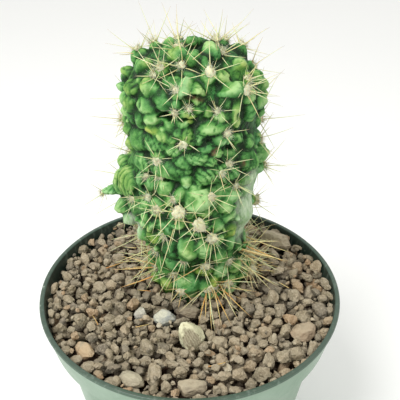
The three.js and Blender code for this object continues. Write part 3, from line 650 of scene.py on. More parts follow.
# Tubercles and lobes: azimuth from the front, height, half width, half height, swell and, if any, roll.
crownLumps = [
    (180, 218, 4, 3.5, 2), (-120, 219, 3, 3, 2.2), (-110, 216.5, 3, 2.8, 3.2), (-105, 211.5, 2.6, 2.8, 5),
    (-100, 206.5, 2.8, 2.8, 4.8), (-95, 201, 2.6, 2.4, 5), (-62, 212.5, 2.5, 4, 3.5, -20), (-33, 213, 3.2, 3.2, 4),
    (-20, 217.5, 5, 3.5, 4), (1, 216.5, 3.5, 4, 4.5), (-5, 220, 2.7, 2.4, 5), (12, 220.5, 3.2, 2.6, 3),
    (13, 214.5, 2.5, 4.6, 4), (30, 218, 4, 5, 4.5), (170, 219, 4, 3.4, 1.4), (110, 219, 3.2, 2.8, 2.6),
    (60, 213, 4.4, 3.9, 3.4), (76, 211, 2.6, 2.8, 2.4), (100, 209.5, 3, 2.8, 1.2), (62, 215.5, 2.6, 2.4, 1.6),
    (28, 211.5, 3.6, 3, 3.6), (17, 212, 3.8, 3.4, 3.6), (36, 206.5, 6.4, 3.6, 5), (-7, 208.5, 3.4, 4.8, 4.4, -15),
    (4, 206.5, 3, 5, 4.6), (-17, 209.5, 5, 3.6, 3.8), (-24, 204, 6, 5, 3.4), (-40, 207, 5.2, 4, 4),
    (-40, 200, 5, 4, 3.4), (-62, 205, 4, 4, 4.4), (-62, 199, 4.2, 4.6, 4), (72, 208, 3.8, 3.4, 4.6),
    (88, 203, 3.4, 3.2, 3.8), (50, 203, 4, 3.6, 4.6), (62, 200, 3.6, 3.4, 4.2), (95, 198.5, 3.4, 3.4, 4.6),
]
shelfLumps = [
    (-6, 199.5, 3, 3, 3), (-2, 197.8, 2.5, 2, 3), (-14, 199, 2.5, 2.5, 3), (-14, 203, 2.5, 3, 2.8),
    (6, 202, 3.4, 3, 2.4), (12, 200.5, 2.2, 3, 2.6), (27, 203, 3, 3, 3.4), (23, 197.5, 2.8, 2.6, 3.2),
    (29, 198, 2.5, 2.6, 3), (37, 199, 2.8, 7, 4), (52, 199, 3.4, 6, 4.4), (85, 196.5, 3.6, 3.8, 4),
    (-80, 198.5, 3.4, 3.2, 2.6), (-82, 193, 3.2, 3.2, 3), (-62, 193.5, 3.4, 4, 3), (-47, 195, 2.8, 5, 3),
    (-35, 196, 4, 3.6, 3.4), (-36, 191.5, 3.6, 3, 3.4), (15, 193.5, 8, 3.2, 4.6), (-8, 195.5, 3, 2.4, 3.2),
    (-17, 194, 3.4, 3, 3.4), (-11, 192, 3, 3.4, 4, 10), (-4, 189.5, 4.6, 5.4, 5.4), (-17, 188.5, 4, 3, 3.6, 30),
    (-25, 189, 4, 3.4, 3.2), (-36, 185.5, 7, 5, 3.4), (-58, 184.5, 7, 6, 3.8), (-80, 187, 5, 5, 4.2),
    (-95, 187.5, 3.2, 2.8, 4.8), (-78, 179.5, 4, 4.4, 3.4), (-18, 183.5, 4, 3, 3.4), (-33, 181, 4, 4, 3),
    (-37, 177.5, 3.8, 3.4, 3.4), (5, 189.5, 3.4, 4, 4.6), (23, 188.5, 4.2, 4, 4.4), (30, 188, 3, 2.8, 4),
    (40, 187, 4, 3, 3.8), (10, 185.5, 5, 3, 3.8), (18, 183, 3.6, 3, 3.4), (55, 184, 3.6, 3.2, 4),
    (86, 192.5, 3.2, 3.2, 3.6),
]
waistLumps = [
    (55, 176, 6, 6, 4.2), (86, 180, 4, 3.2, 2.2), (88, 173, 5, 5, 5.4), (3, 181, 6, 3.4, 4.6), (12, 180, 4, 3, 4.4),
    (-22, 175, 9, 5.4, 4.4), (-10, 179, 5, 4, 3.8), (-52, 175.5, 6, 4.6, 3.8), (-8, 172, 3, 4, 3, 30),
    (-23, 167, 5, 5, 3.8), (-36, 167.5, 3.6, 3.2, 3.6), (-47, 168, 2.8, 4, 3), (-84, 159, 4.4, 6.8, 5.2),
    (-88, 154.8, 3.6, 2.8, 11), (-88, 155, 4, 3.6, 4.4), (-84, 148, 4.4, 4, 7.4), (-78, 143, 4, 3.6, 6),
    (-38, 157, 4, 3.6, 3), (-37, 151.5, 3, 3, 3.2), (-25, 159, 3.6, 3.4, 3.2), (-27, 155.5, 3, 3, 3),
    (-15, 162, 3.6, 3.2, 3.8), (-7, 163.5, 5, 5, 4.4), (5, 163, 7.2, 6.4, 6), (-8, 157, 4.4, 3.6, 4.4),
    (1, 156.5, 3.6, 3, 3.4), (-8, 151.5, 4.6, 2.6, 3.8), (9, 151.5, 5, 3.8, 3.8), (13, 156.5, 4, 3, 3.6),
    (32, 157, 3.6, 3.6, 3.6), (38, 161.5, 4, 3, 3), (52, 162, 4, 3.4, 2), (52, 167.5, 6, 3.2, 2.6),
    (34, 173, 3.6, 3.4, 3.4), (25, 171.5, 2.8, 3, 3), (37, 151.5, 4.4, 4.8, 2.8), (28, 149, 4, 4, 2.4),
    (88, 166, 4, 3.4, 3), (13, 174, 8.4, 6, 3.9, 25), (-67, 162.5, 6.6, 7.4, 4),
]
footLumps = [
    (66, 148, 7, 12, 2.6), (45, 143, 4.6, 5, 1.8), (-3, 137.5, 6.4, 6.2, 6), (11, 137, 5, 5.2, 5),
    (25, 141, 4, 3.8, 4.2), (-20, 148, 5, 4.6, 3), (-18, 136, 7, 7, 3.6), (-35, 141.5, 4.6, 4, 3.2),
    (-58, 138, 5, 5, 3.4), (-25, 126, 6, 5, 3.2), (-15, 128, 3, 2.6, 3.4), (-42, 122, 6, 7, 3.4),
    (-13, 114, 7, 7, 5.4), (5, 114, 4.4, 4.6, 3.6), (8, 123.5, 4, 3.6, 4), (18, 117, 4, 4, 3.8),
    (15, 107, 6, 3.6, 4.2), (28, 122, 4, 4, 3.6), (27, 132, 4, 5, 3.4, 20), (45, 135.5, 4, 5, 2.2),
    (62, 130, 5, 5, 2), (48, 121, 4, 3.6, 3.8), (36, 113.5, 4.4, 4, 3.4), (36, 108, 4.4, 3, 4),
    (80, 129.5, 4.4, 4.4, 1.5), (86, 122, 4.4, 4.4, 3.6), (75, 112, 4.6, 4, 3.8), (-85, 130, 4, 4, 3.4),
    (-80, 118, 4, 5, 3.8), (-40, 111.5, 4.4, 4, 4), (-14, 106.2, 4.8, 2.4, 3.4), (-62, 110, 4.6, 4, 3.4),
    (-42, 109, 4.2, 3.8, 3.4),
]

# Areoles: azimuth, height, wool radius, spines, spine length.
frontAreoles = [
    (-37, 219.5, 1.7, 5, 13), (-42, 211.5, 1.3, 4, 11), (-32, 212.5, 1.3, 4, 12), (-14, 215, 1.9, 6, 15),
    (16, 212, 2.4, 5, 13), (44, 206, 2.4, 6, 13), (51, 217.5, 1.5, 5, 13), (-13, 207.5, 1.3, 3, 10),
    (-13, 200, 0.9, 2, 6), (20, 200, 1.2, 4, 9), (-3, 201.5, 1, 2, 6), (28, 191, 1.6, 4, 11), (-7, 188.5, 1.5, 2, 7),
    (-32, 179, 1.6, 4, 12), (-29, 171, 1.3, 3, 8), (30, 176.5, 1.6, 4, 11), (21, 175, 1, 3, 9),
    (-43, 169.5, 1, 2, 7), (-56, 157, 1.3, 3, 10), (-35, 161, 1.4, 5, 11), (-24, 158, 1.7, 5, 11),
    (-12, 163.5, 1, 2, 9), (-7, 158, 2.2, 5, 16), (15, 164.5, 1.7, 6, 13), (9, 152, 2.6, 6, 13),
    (21, 144, 2.2, 6, 14), (-22, 145, 1.1, 4, 9), (-10, 132, 1.3, 2, 9), (10, 127.5, 1.9, 6, 13),
    (-31, 118.5, 2, 5, 12), (-18, 114, 1.5, 3, 8), (13, 113, 2.6, 8, 20), (32, 114, 1.7, 5, 15),
    (41, 125, 1.5, 5, 14), (58, 119.5, 1.3, 5, 14), (-51, 129.5, 1.3, 4, 12), (-65, 115, 1.4, 5, 14),
    (39, 166, 1.2, 5, 11), (78, 122, 1.7, 7, 13), (56, 208.5, 2, 7, 9), (110, 219.5, 1.8, 4, 16),
    (-110, 216.5, 1.4, 3, 14), (86, 179, 1.4, 3, 14), (88, 166, 1.2, 3, 14), (-95, 187.5, 1.2, 2, 14),
    (-88, 154, 0.9, 3, 9), (-85, 130, 1.4, 3, 14), (88, 128, 2.4, 6, 16), (85, 119, 2.4, 5, 17),
    (75, 112, 2.2, 5, 15), (-80, 117, 1.8, 4, 16),
]


def edgesAt(z):
    # Cubic pieces between the stations, whose slopes there are those of the line through their neighbours.
    heights, edges = stations[:, 0], stations[:, 1:]
    below = np.maximum(np.arange(len(heights)) - 1, 0)
    above = np.minimum(np.arange(len(heights)) + 1, len(heights) - 1)
    slopes = (edges[above] - edges[below]) / (heights[above] - heights[below])[:, None]
    i = np.clip(np.searchsorted(heights, z) - 1, 0, len(heights) - 2)
    span = (heights[i + 1] - heights[i])[:, None]
    t = np.clip((z - heights[i])[:, None] / span, 0, 1)
    return (
        (2 * t**3 - 3 * t**2 + 1) * edges[i] + (t**3 - 2 * t**2 + t) * span * slopes[i]
        + (3 * t**2 - 2 * t**3) * edges[i + 1] + (t**3 - t**2) * span * slopes[i + 1]
    )


def bodyPoint(azimuth, z):
    # Middle of the edges plus half their spread times (sin, -cos) of the azimuth.
    left, right, front, back = edgesAt(z).T
    angle = np.radians(azimuth)
    x = (left + right) / 2 + (right - left) / 2 * np.sin(angle)
    y = (front + back) / 2 - (back - front) / 2 * np.cos(angle)
    return np.stack([x, y, z], -1)


def bodyFrame(azimuth, z):
    # The point, and the unit vectors across, up the slope and outward there.
    across = unitRows(bodyPoint(azimuth + 1, z) - bodyPoint(azimuth - 1, z))
    low = np.maximum(z - 0.5, stations[0, 0])
    high = np.minimum(z + 0.5, stations[-1, 0])
    outward = unitRows(np.cross(across, bodyPoint(azimuth, high) - bodyPoint(azimuth, low)))
    return bodyPoint(azimuth, z), across, np.cross(outward, across), outward


# Tubercles of the far side, in staggered rows with a jitter, and the areoles on them.
# A pair for a draw is its least value and its spread.
farSide = {
    "seed": 7, "rowStep": 9.5, "spacing": 10, "heights": (108, 217), "azimuths": (104, 262), "leastRadius": 12,
    "size": (3.4, 2.2), "shape": (0.85, 0.4), "swell": (3, 1.8), "azimuthJitter": 5, "heightJitter": 3.4,
    "roll": 50, "woolly": 0.62, "spineLength": (12, 6), "wool": (1.8, 0.8), "spines": (3, 4),
}


def farRows():
    draw = seededDraw(farSide["seed"])

    def some(key):
        least, spread = farSide[key]
        return least + spread * draw()

    lumps, areoles = [], []
    first, last = farSide["azimuths"]
    for row, z in enumerate(np.arange(*farSide["heights"], farSide["rowStep"])):
        left, right = edgesAt(np.array([z]))[0, :2]
        step = farSide["spacing"] * 180 / (math.pi * max((right - left) / 2, farSide["leastRadius"]))
        azimuth = first + (row % 2) * step * 0.5
        while azimuth < last:
            size, shape, swell = some("size"), some("shape"), some("swell")
            place = (azimuth + farSide["azimuthJitter"] * (draw() - 0.5),
                     z + farSide["heightJitter"] * (draw() - 0.5))
            lumps.append((*place, size * shape, size / shape, swell, farSide["roll"] * (draw() - 0.5)))
            woolly, length = draw() < farSide["woolly"], some("spineLength")
            if woolly:
                areoles.append((*place, some("wool"), farSide["spines"][0 if draw() < 0.5 else 1], length))
            azimuth += step
    return lumps, areoles


farLumps, farAreoles = farRows()
listed = crownLumps + shelfLumps + waistLumps + footLumps + farLumps
lumpRows = np.array([(*row, 0)[:6] for row in listed], float)
areoleRows = np.array(frontAreoles + farAreoles, float)


def lumpShapes(rows):
    # Each lump is an ellipsoid on the body whose far end stands out by its swell.
    azimuth, z, halfWidth, halfHeight, swell, roll = rows.T
    at, across, upward, outward = bodyFrame(azimuth, z)
    c, s = np.cos(np.radians(roll))[:, None], np.sin(np.radians(roll))[:, None]
    axes = np.stack([across * c + upward * s, upward * c - across * s, outward], 1)
    deep = (swell + np.minimum(halfWidth, halfHeight)) / 2
    return at + outward * (swell - deep)[:, None], axes, np.stack([halfWidth, halfHeight, deep], -1)


# The plant's skin: the outline and its lumps, grown into one surface, then folded and roughened.
skin = {
    "around": 120, "ringStep": 1.4, "ball": 4, "droop": 0.16, "leastDroop": -0.4, "taper": 0.2,
    "uneven": 0.1, "unevenSize": 0.8,
    "point": 0.26, "budPoint": 0.55, "flats": 6, "flatDepth": (0.7, 0.97), "flatReach": 0.2,
    "voxel": 0.66, "settle": 1, "reliefSteps": 55, "nearSteps": 7, "seed": 5,
    # The skin is worked from the first of these heights up, in full from the second.
    "workedFrom": (100, 106),
    "crownShade": 0.7, "crownHeights": (196, 210), "lightSpread": 0.46, "oliveSpread": 0.45,
    "seamWidth": 0.36, "seamDepth": 0.42, "seamReach": 1.4, "seamGap": 4.0, "seamFade": 0.3, "seamBreakSize": 5.0,
    # How deep a groove, a hollow and a wrinkle are that take as much painted shade as a seam.
    "grooveShade": 1.1, "hollowShade": 1.2, "wrinkleShade": 0.7,
    "buds": 230, "budHalf": (0.9, 2.0), "budHeights": (108, 214), "budShape": (0.8, 1.3), "budSwell": (1.6, 3.4),
    "budRoll": 40, "waistBare": 0.75, "waistMiddle": 168, "waistHalf": 18, "paleBare": 0.2,
    "swellSize": 5.0, "swellDepth": 0.45, "fineSize": 1.5, "fineDepth": 0.17,
    # Wrinkles: size, depth and width. How they are warped and broken up by noise of a size.
    "wrinkles": ((3.2, 0.52, 0.2), (1.8, 0.25, 0.24)), "wrinkleWarp": 1.3, "warpSize": 4.0, "breakSize": 6.0,
    "paleSmooth": 0.6, "patchLift": 3.5, "foldWander": 0.5, "foldWanderSize": 4.5,
    "rimAt": 0.8, "rimWidth": 0.14, "cupWidth": 0.45,
    # Hollows between the folds, dented and darkened with painted shade: azimuth, height, half width, half height,
    # depth.
    "hollows": [
        (-20, 198.0, 4.6, 2.0, 5.2), (-3, 197.4, 5, 1.2, 3.8), (1, 205.4, 5.5, 1.0, 3.0), (38, 197.5, 2.4, 3.0, 2.6),
        (33, 184, 2.4, 2.0, 2.4), (-45, 201, 1.8, 2.6, 2.0), (0, 186.5, 4, 1.0, 1.6), (-24, 170.5, 5, 1.0, 1.8),
        (12, 168.4, 5, 1.0, 1.8), (-50, 160, 1.8, 3.6, 2.0), (-42, 164, 1.6, 2.6, 2.0), (18, 146, 3, 1.6, 1.8),
    ],
    # Ribbed folds: azimuth, height, reach, roll, spacing, depth.
    "folds": [
        (-76, 161, 14, 3, 2.2, 0.85), (-3, 192, 5, 0, 2.2, 0.5), (1, 182, 6, 70, 2.4, 0.5),
        (15, 175, 11, 40, 2.3, 0.85), (30, 170, 9, 50, 2.6, 0.6), (-18, 183, 8, -30, 2.6, 0.6),
        (-40, 176, 10, 10, 2.8, 0.5), (45, 190, 9, -20, 2.8, 0.6), (60, 172, 10, -10, 2.8, 0.6),
        (-14, 176, 8, 20, 3.0, 0.4), (0, 186, 8, 60, 2.4, 0.5), (-34, 186, 9, 35, 2.6, 0.5),
        (-62, 205, 9, 5, 3.0, 0.5), (100, 180, 14, 20, 3.4, 0.5), (-120, 185, 14, -20, 3.4, 0.5),
        (180, 170, 16, 10, 3.6, 0.5), (150, 200, 14, -15, 3.4, 0.5), (-150, 150, 14, 15, 3.6, 0.5),
    ],
    # Cupped lobes, whose rim stands over a hollow: azimuth, height, reach, rise, depth.
    "cups": [
        (1, 142, 6.2, 0.9, 1.2), (2, 163, 8.6, 0.8, 0.9), (-14, 117, 5.4, 0.8, 0.9), (22, 208, 6, 0.6, 0.7),
        (-24, 147, 5.6, 0.7, 0.9), (28, 140, 5, 0.7, 0.8), (-48, 150, 6, 0.6, 0.8), (10, 118, 5, 0.6, 0.8),
        (-10, 152, 4.6, 0.6, 0.6), (-40, 187, 6, 0.6, 0.7), (34, 186, 5, 0.6, 0.7),
    ],
    # Patches of another tone: azimuth, height, reach, light (-1 dark to 1 bright), olive (-1 bluish to 1 yellow).
    "tints": [
        (-44, 213, 7, 0.35, 0.9), (-36, 218, 6, 0.3, 0.8), (48, 212, 7, 0.3, 0.9), (-60, 200, 6, 0.0, 0.6),
        (-12, 146, 7, -0.7, -0.9), (-22, 138, 7, -0.6, -0.9), (-4, 131, 6, -0.8, -0.8), (-16, 127, 7, -0.5, -0.9),
        (20, 135, 6, -0.5, -0.6), (0, 180, 7, -0.4, -0.4), (-20, 202, 6, -0.2, -0.6), (36, 134, 6, -0.4, 0.2),
        (3, 166, 6, 0.9, 0.2), (31, 209, 6, 0.9, 0.3), (4, 209, 5, 0.8, 0.3), (-15, 119.5, 5, 0.8, 0.1),
        (-1, 140.5, 6, 0.7, 0.4), (-7, 154, 5, 0.7, 0.1), (31, 155.5, 5, 0.7, 0.2), (28, 218.5, 5, 0.8, 0.3),
        (14, 197, 6, 0.7, 0.1), (1, 217.5, 5, -0.8, -0.5), (8, 187.5, 5, -0.8, -0.6), (1, 119, 5, -0.8, -0.7),
        (28, 151.5, 4, -0.6, -0.6), (-1, 199.5, 4, 0.4, 0.9), (-30, 214.5, 5, 0.4, 0.9), (-50, 208, 5, 0.4, 0.8),
        (-55, 220.5, 5, 0.5, 0.8), (56, 209.5, 7, 0.5, 0.9), (-30, 209.5, 5, -0.2, -0.8), (-17, 152, 5, -0.3, -0.9),
        (-15, 141.5, 5, -0.3, -0.9), (-70, 163.5, 11, 0.3, 0.7), (12, 176, 11, -0.25, -0.2),
        (-14, 179, 9, -0.2, -0.3),
    ],
    # Old grey-green flanks: azimuth, height, reach.
    "pale": [(63, 153, 12), (62, 165, 9), (68, 141, 10), (-66, 142, 7), (180, 120, 26)],
    # Corky cracks: azimuth, height, reach, roll.
    "cracks": [
        (1, 205.2, 6, -4), (-21, 198, 3.2, -35), (17, 184, 3, 40), (44, 176, 3, 80), (150, 175, 4, 20),
        (-140, 140, 4, 60),
    ],
    "crackWander": 0.7, "crackWanderSize": 1.6, "crackWidth": 0.7,
}


def bodyCore():
    # Rings of the outline from the foot up, closed by a fan at each end.
    around, low, high = skin["around"], stations[0, 0], stations[-1, 0]
    azimuth = np.arange(around) * 360 / around
    rings = int((high - low) / skin["ringStep"])
    points = bodyPoint(np.tile(azimuth, rings), np.repeat(np.linspace(low, high, rings), around))
    footMiddle = points[:around].mean(0)
    crownMiddle = points[-around:].mean(0) + [0, 0, crownTop - high]
    return np.concatenate([points, [footMiddle, crownMiddle]]), ringQuads(rings, around), endFans(rings, around)


def lumpBalls(shapes, random, point):
    # A unit ball per lump: flattened in places, drawn to a blunt point, narrowed along its height,
    # drooped with its depth, and made uneven by noise.
    centre, axes, half = shapes
    ball, faces = ballTemplate(skin["ball"])
    count = len(centre)
    facings = unitRows(random.normal(size=(count, skin["flats"], 3)))
    depths = random.uniform(*skin["flatDepth"], (count, skin["flats"]))
    p = ball[None] * chipped(ball, facings, depths, skin["flatReach"])[:, :, None]
    taper = skin["taper"] * random.uniform(-1, 1, (count, 1))
    droop = skin["droop"] * random.uniform(skin["leastDroop"], 1, (count, 1))
    tip = np.maximum(p[:, :, 2:], 0) ** 2
    p[:, :, :2] *= 1 - point * tip
    p[:, :, 0] *= 1 - taper * p[:, :, 1]
    p[:, :, 1] -= droop * np.maximum(p[:, :, 2], 0)
    shift = random.uniform(0, 50, (count, 1, 3))
    uneven = softNoise((ball[None] + shift).reshape(-1, 3), skin["unevenSize"], 2).reshape(count, -1)
    p *= 1 + skin["uneven"] * uneven[:, :, None]
    points = centre[:, None] + np.einsum("nvi,nij->nvj", p * half[:, None], axes)
    return points.reshape(-1, 3), repeated(faces, count, len(ball))


def budRows(random):
    # Small buds scattered between the tubercles of every side.
    count = skin["buds"]
    azimuth = random.uniform(-180, 180, count)
    z = random.uniform(*skin["budHeights"], count)
    half = random.uniform(*skin["budHalf"], count)
    shape = random.uniform(*skin["budShape"], count)
    swell = random.uniform(*skin["budSwell"], count)
    roll = random.uniform(-skin["budRoll"], skin["budRoll"], count)
    rows = np.stack([azimuth, z, half * shape, half / shape, swell, roll], -1)
    # None on the pale flanks, and few on the broad folds of the waist.
    bare = (np.abs(z - skin["waistMiddle"]) < skin["waistHalf"]) & (random.uniform(size=count) < skin["waistBare"])
    for patch in skin["pale"]:
        bare |= patchWeight(bodyPoint(azimuth, z), *patch)[0] > skin["paleBare"]
    return rows[~bare]


class Surface:
    # The points of a mesh with the lists that smoothing and normals need.
    def __init__(self, mesh):
        self.points = meshPoints(mesh) / mm
        pairs = np.empty(len(mesh.edges) * 2, np.int32)
        mesh.edges.foreach_get("vertices", pairs)
        self.pairs = pairs.reshape(-1, 2)
        corners = np.empty(len(mesh.loops), np.int32)
        mesh.loops.foreach_get("vertex_index", corners)
        self.quads = corners.reshape(-1, 4)
        self.degree = np.bincount(self.pairs.ravel(), minlength=len(self.points))[:, None]

    def gather(self, rows, groups, values):
        columns = [np.bincount(groups, values[:, c], minlength=rows) for c in range(values.shape[1])]
        return np.stack(columns, -1)

    def smoothed(self, values, steps, share=0.5):
        # Each step moves every value towards the mean of its neighbours.
        first, second = self.pairs.T
        groups = np.concatenate([first, second])
        for _ in range(steps):
            others = np.concatenate([values[second], values[first]])
            mean = self.gather(len(values), groups, others) / self.degree
            values = values + share * (mean - values)
        return values

    def normals(self, points):
        corners = points[self.quads]
        facing = np.cross(corners[:, 2] - corners[:, 0], corners[:, 3] - corners[:, 1])
        total = self.gather(len(points), self.quads.ravel(), np.repeat(facing, 4, axis=0))
        return unitRows(total)


def patchWeight(points, azimuth, z, reach):
    # One at the patch's middle and nought at its reach, (1 - (d/reach)^2)^2, and the offsets across and up.
    at, across, upward, outward = bodyFrame(np.array([float(azimuth)]), np.array([float(z)]))
    offset = points - (at + outward * skin["patchLift"])
    weight = np.clip(1 - (np.linalg.norm(offset, axis=1) / reach) ** 2, 0, 1) ** 2
    return weight, offset @ across[0], offset @ upward[0]


def grooveDepth(points):
    # Ribs with narrow grooves between them: depth times (1 - |sin(pi u / spacing)|) squared.
    depth = np.zeros(len(points))
    for azimuth, z, reach, roll, spacing, deep in skin["folds"]:
        weight, u, v = patchWeight(points, azimuth, z, reach)
        turn = math.radians(roll)
        wander = skin["foldWander"] * spacing * softNoise(points, skin["foldWanderSize"], 9)
        wave = np.abs(np.sin(math.pi * (u * math.cos(turn) + v * math.sin(turn) + wander) / spacing))
        depth += deep * np.sqrt(weight) * (1 - wave) ** 2
    return depth


def wrinkleDepth(points):
    # Creases along the noughts of a warped noise: depth times (1 - |noise| / width), squared.
    warp = np.stack([softNoise(points, skin["warpSize"], seed) for seed in (51, 52, 53)], -1)
    warped = points + skin["wrinkleWarp"] * warp
    depth = np.zeros(len(points))
    for number, (size, deep, width) in enumerate(skin["wrinkles"]):
        line = np.clip(1 - np.abs(softNoise(warped, size, 41 + number)) / width, 0, 1) ** 2
        depth += deep * line * np.clip(0.55 + 0.8 * softNoise(points, skin["breakSize"], 44 + number), 0, 1)
    return depth


def cupRise(points):
    # A rim, rise times exp(-((d - rimAt) / rimWidth)^2), and a hollow within it, depth times exp(-(d / cupWidth)^2),
    # where d is the distance from the middle over the reach. The rims' shares come back too, for a painted highlight
    # along them.
    rise, rimHighlights = np.zeros(len(points)), np.zeros(len(points))
    for azimuth, z, reach, high, deep in skin["cups"]:
        near, u, v = patchWeight(points, azimuth, z, reach * 1.6)
        far = np.hypot(u, v * 1.12) / reach + 0.12 * softNoise(points, 3.0, 61)
        rim = np.exp(-(((far - skin["rimAt"]) / skin["rimWidth"]) ** 2))
        rim = rim * np.sqrt(near) * np.clip(0.5 + v / reach, 0.15, 1)
        rise += high * rim - deep * np.exp(-((far / skin["cupWidth"]) ** 2)) * (near > 0)
        rimHighlights = np.maximum(rimHighlights, rim)
    return rise, rimHighlights


def hollowDepth(points):
    # Depth times (1 - (u/halfWidth)^2 - (v/halfHeight)^2), squared, where that is over nought.
    depth = np.zeros(len(points))
    for azimuth, z, halfWidth, halfHeight, deep in skin["hollows"]:
        near, u, v = patchWeight(points, azimuth, z, halfWidth + halfHeight + 6)
        v = v + 0.7 * softNoise(points, 2.6, 14)
        inside = np.clip(1 - (u / halfWidth) ** 2 - (v / halfHeight) ** 2, 0, 1)
        depth = np.maximum(depth, deep * inside**2 * (near > 0))
    return depth


def nearestLumps(points, shapes):
    # For each point, the lump whose ellipsoid it is nearest, and how near it is to that and to the next,
    # by its distance in half sizes.
    centre, axes, half = shapes
    first = np.full(len(points), 1e9)
    second = first.copy()
    which = np.zeros(len(points), np.int64)
    for i in range(len(centre)):
        far = np.linalg.norm(((points - centre[i]) @ axes[i].T) / half[i], axis=1)
        nearer = far < first
        second = np.where(nearer, first, np.minimum(second, far))
        first[nearer], which[nearer] = far[nearer], i
    return which, first, second


def seamShare(first, second):
    # One on the seam between two lumps and nought away from it: exp(-(gap/width)^2).
    gap = (second - first) * skin["seamGap"]
    near = np.clip((skin["seamReach"] - second) / skin["seamFade"], 0, 1)
    return np.exp(-((gap / skin["seamWidth"]) ** 2)) * near


def makeBody():
    random = np.random.default_rng(skin["seed"])
    shapes = lumpShapes(lumpRows)
    core, quads, fans = bodyCore()
    balls, ballFaces = lumpBalls(shapes, random, skin["point"])
    budShapes = lumpShapes(budRows(random))
    buds, budFaces = lumpBalls(budShapes, random, skin["budPoint"])
    points = np.concatenate([core, balls, buds])
    rough = buildMesh("cactusBody", points * mm, quads, fans, ballFaces + len(core),
                      budFaces + len(core) + len(balls))
    piece = addPiece("cactusBody", rough, "cactus", "cactus")
    grow = piece.modifiers.new("skin", "REMESH")
    grow.mode = "VOXEL"
    grow.voxel_size = skin["voxel"] * mm
    mesh = applied(piece)
    surface = Surface(mesh)
    place = surface.smoothed(surface.points, skin["settle"])
    normal = surface.normals(place)
    # Painted shade and light: how far each point stands out of the broadly smoothed skin, which darkens the hollows
    # and lightens the domes in the colour.
    broad = surface.smoothed(place, skin["reliefSteps"])
    reliefShade = ((place - broad) * surface.normals(broad)).sum(1)
    allShapes = [np.concatenate(pair) for pair in zip(shapes, budShapes)]
    which, first, second = nearestLumps(place, allShapes)
    seams = seamShare(first, second) * np.clip(0.6 + 0.8 * softNoise(place, skin["seamBreakSize"], 21), 0.15, 1)
    grooves = grooveDepth(place)
    hollows = hollowDepth(place)
    shown = between(place[:, 2], *skin["workedFrom"])
    lift = skin["swellDepth"] * softNoise(place, skin["swellSize"], 4)
    lift = lift + skin["fineDepth"] * softNoise(place, skin["fineSize"], 6)
    cups, rimHighlights = cupRise(place)
    pale = np.zeros(len(place))
    for azimuth, z, reach in skin["pale"]:
        pale = np.maximum(pale, patchWeight(place, azimuth, z, reach)[0] ** 0.5)
    wrinkles = wrinkleDepth(place) * (1 - skin["paleSmooth"] * pale)
    lift = lift + cups - wrinkles - grooves - hollows - skin["seamDepth"] * seams
    place = place + normal * (lift * shown)[:, None]
    mesh.vertices.foreach_set("co", (place * mm).astype(np.float32).ravel())
    mesh.update()
    mesh.shade_smooth()

    # The same at a small scale: painted shade in small creases and painted light on small bumps.
    near = surface.smoothed(place, skin["nearSteps"])
    fine = ((place - near) * surface.normals(near)).sum(1)
    lumpLight = random.normal(0, skin["lightSpread"], len(allShapes[0]))
    lumpOlive = random.normal(0, skin["oliveSpread"], len(allShapes[0]))
    # The crown is a deeper green than the waist.
    light = surface.smoothed(lumpLight[which][:, None], 2)[:, 0]
    light = light - skin["crownShade"] * between(place[:, 2], *skin["crownHeights"])
    olive = surface.smoothed(lumpOlive[which][:, None], 3)[:, 0]
    for azimuth, z, reach, spotLight, spotOlive in skin["tints"]:
        weight = np.sqrt(patchWeight(place, azimuth, z, reach)[0])
        light = light + weight * (spotLight - light)
        olive = olive + weight * (spotOlive - olive)
    cracks = np.zeros(len(place))
    for azimuth, z, reach, roll in skin["cracks"]:
        weight, u, v = patchWeight(place, azimuth, z, reach)
        turn = math.radians(roll)
        wander = skin["crackWander"] * softNoise(place, skin["crackWanderSize"], 12)
        off = np.abs(v * math.cos(turn) - u * math.sin(turn) + wander)
        cracks = np.maximum(cracks, np.clip(weight * 3, 0, 1) * np.clip(1.3 - off / skin["crackWidth"], 0, 1))
    paint(mesh, "reliefShade", reliefShade)
    paint(mesh, "fine", fine)
    # Painted shade in the creases: seams between lumps, grooves, hollows and wrinkles darken the colour.
    dark = seams + grooves / skin["grooveShade"] + hollows / skin["hollowShade"] + wrinkles / skin["wrinkleShade"]
    paint(mesh, "seams", np.clip(dark, 0, 1))
    # The cup rims add a painted highlight, strongest on their upper side.
    paint(mesh, "light", light + rimHighlights)
    paint(mesh, "olive", olive)
    paint(mesh, "pale", pale)
    paint(mesh, "cracks", cracks)
    return mesh, surface.quads, place


bodyMesh, bodyQuads, bodyPlace = makeBody()
print("cactus body:", triangles(bodyMesh), "triangles")
bodyTree = BVHTree.FromPolygons(bodyPlace.tolist(), bodyQuads.tolist())


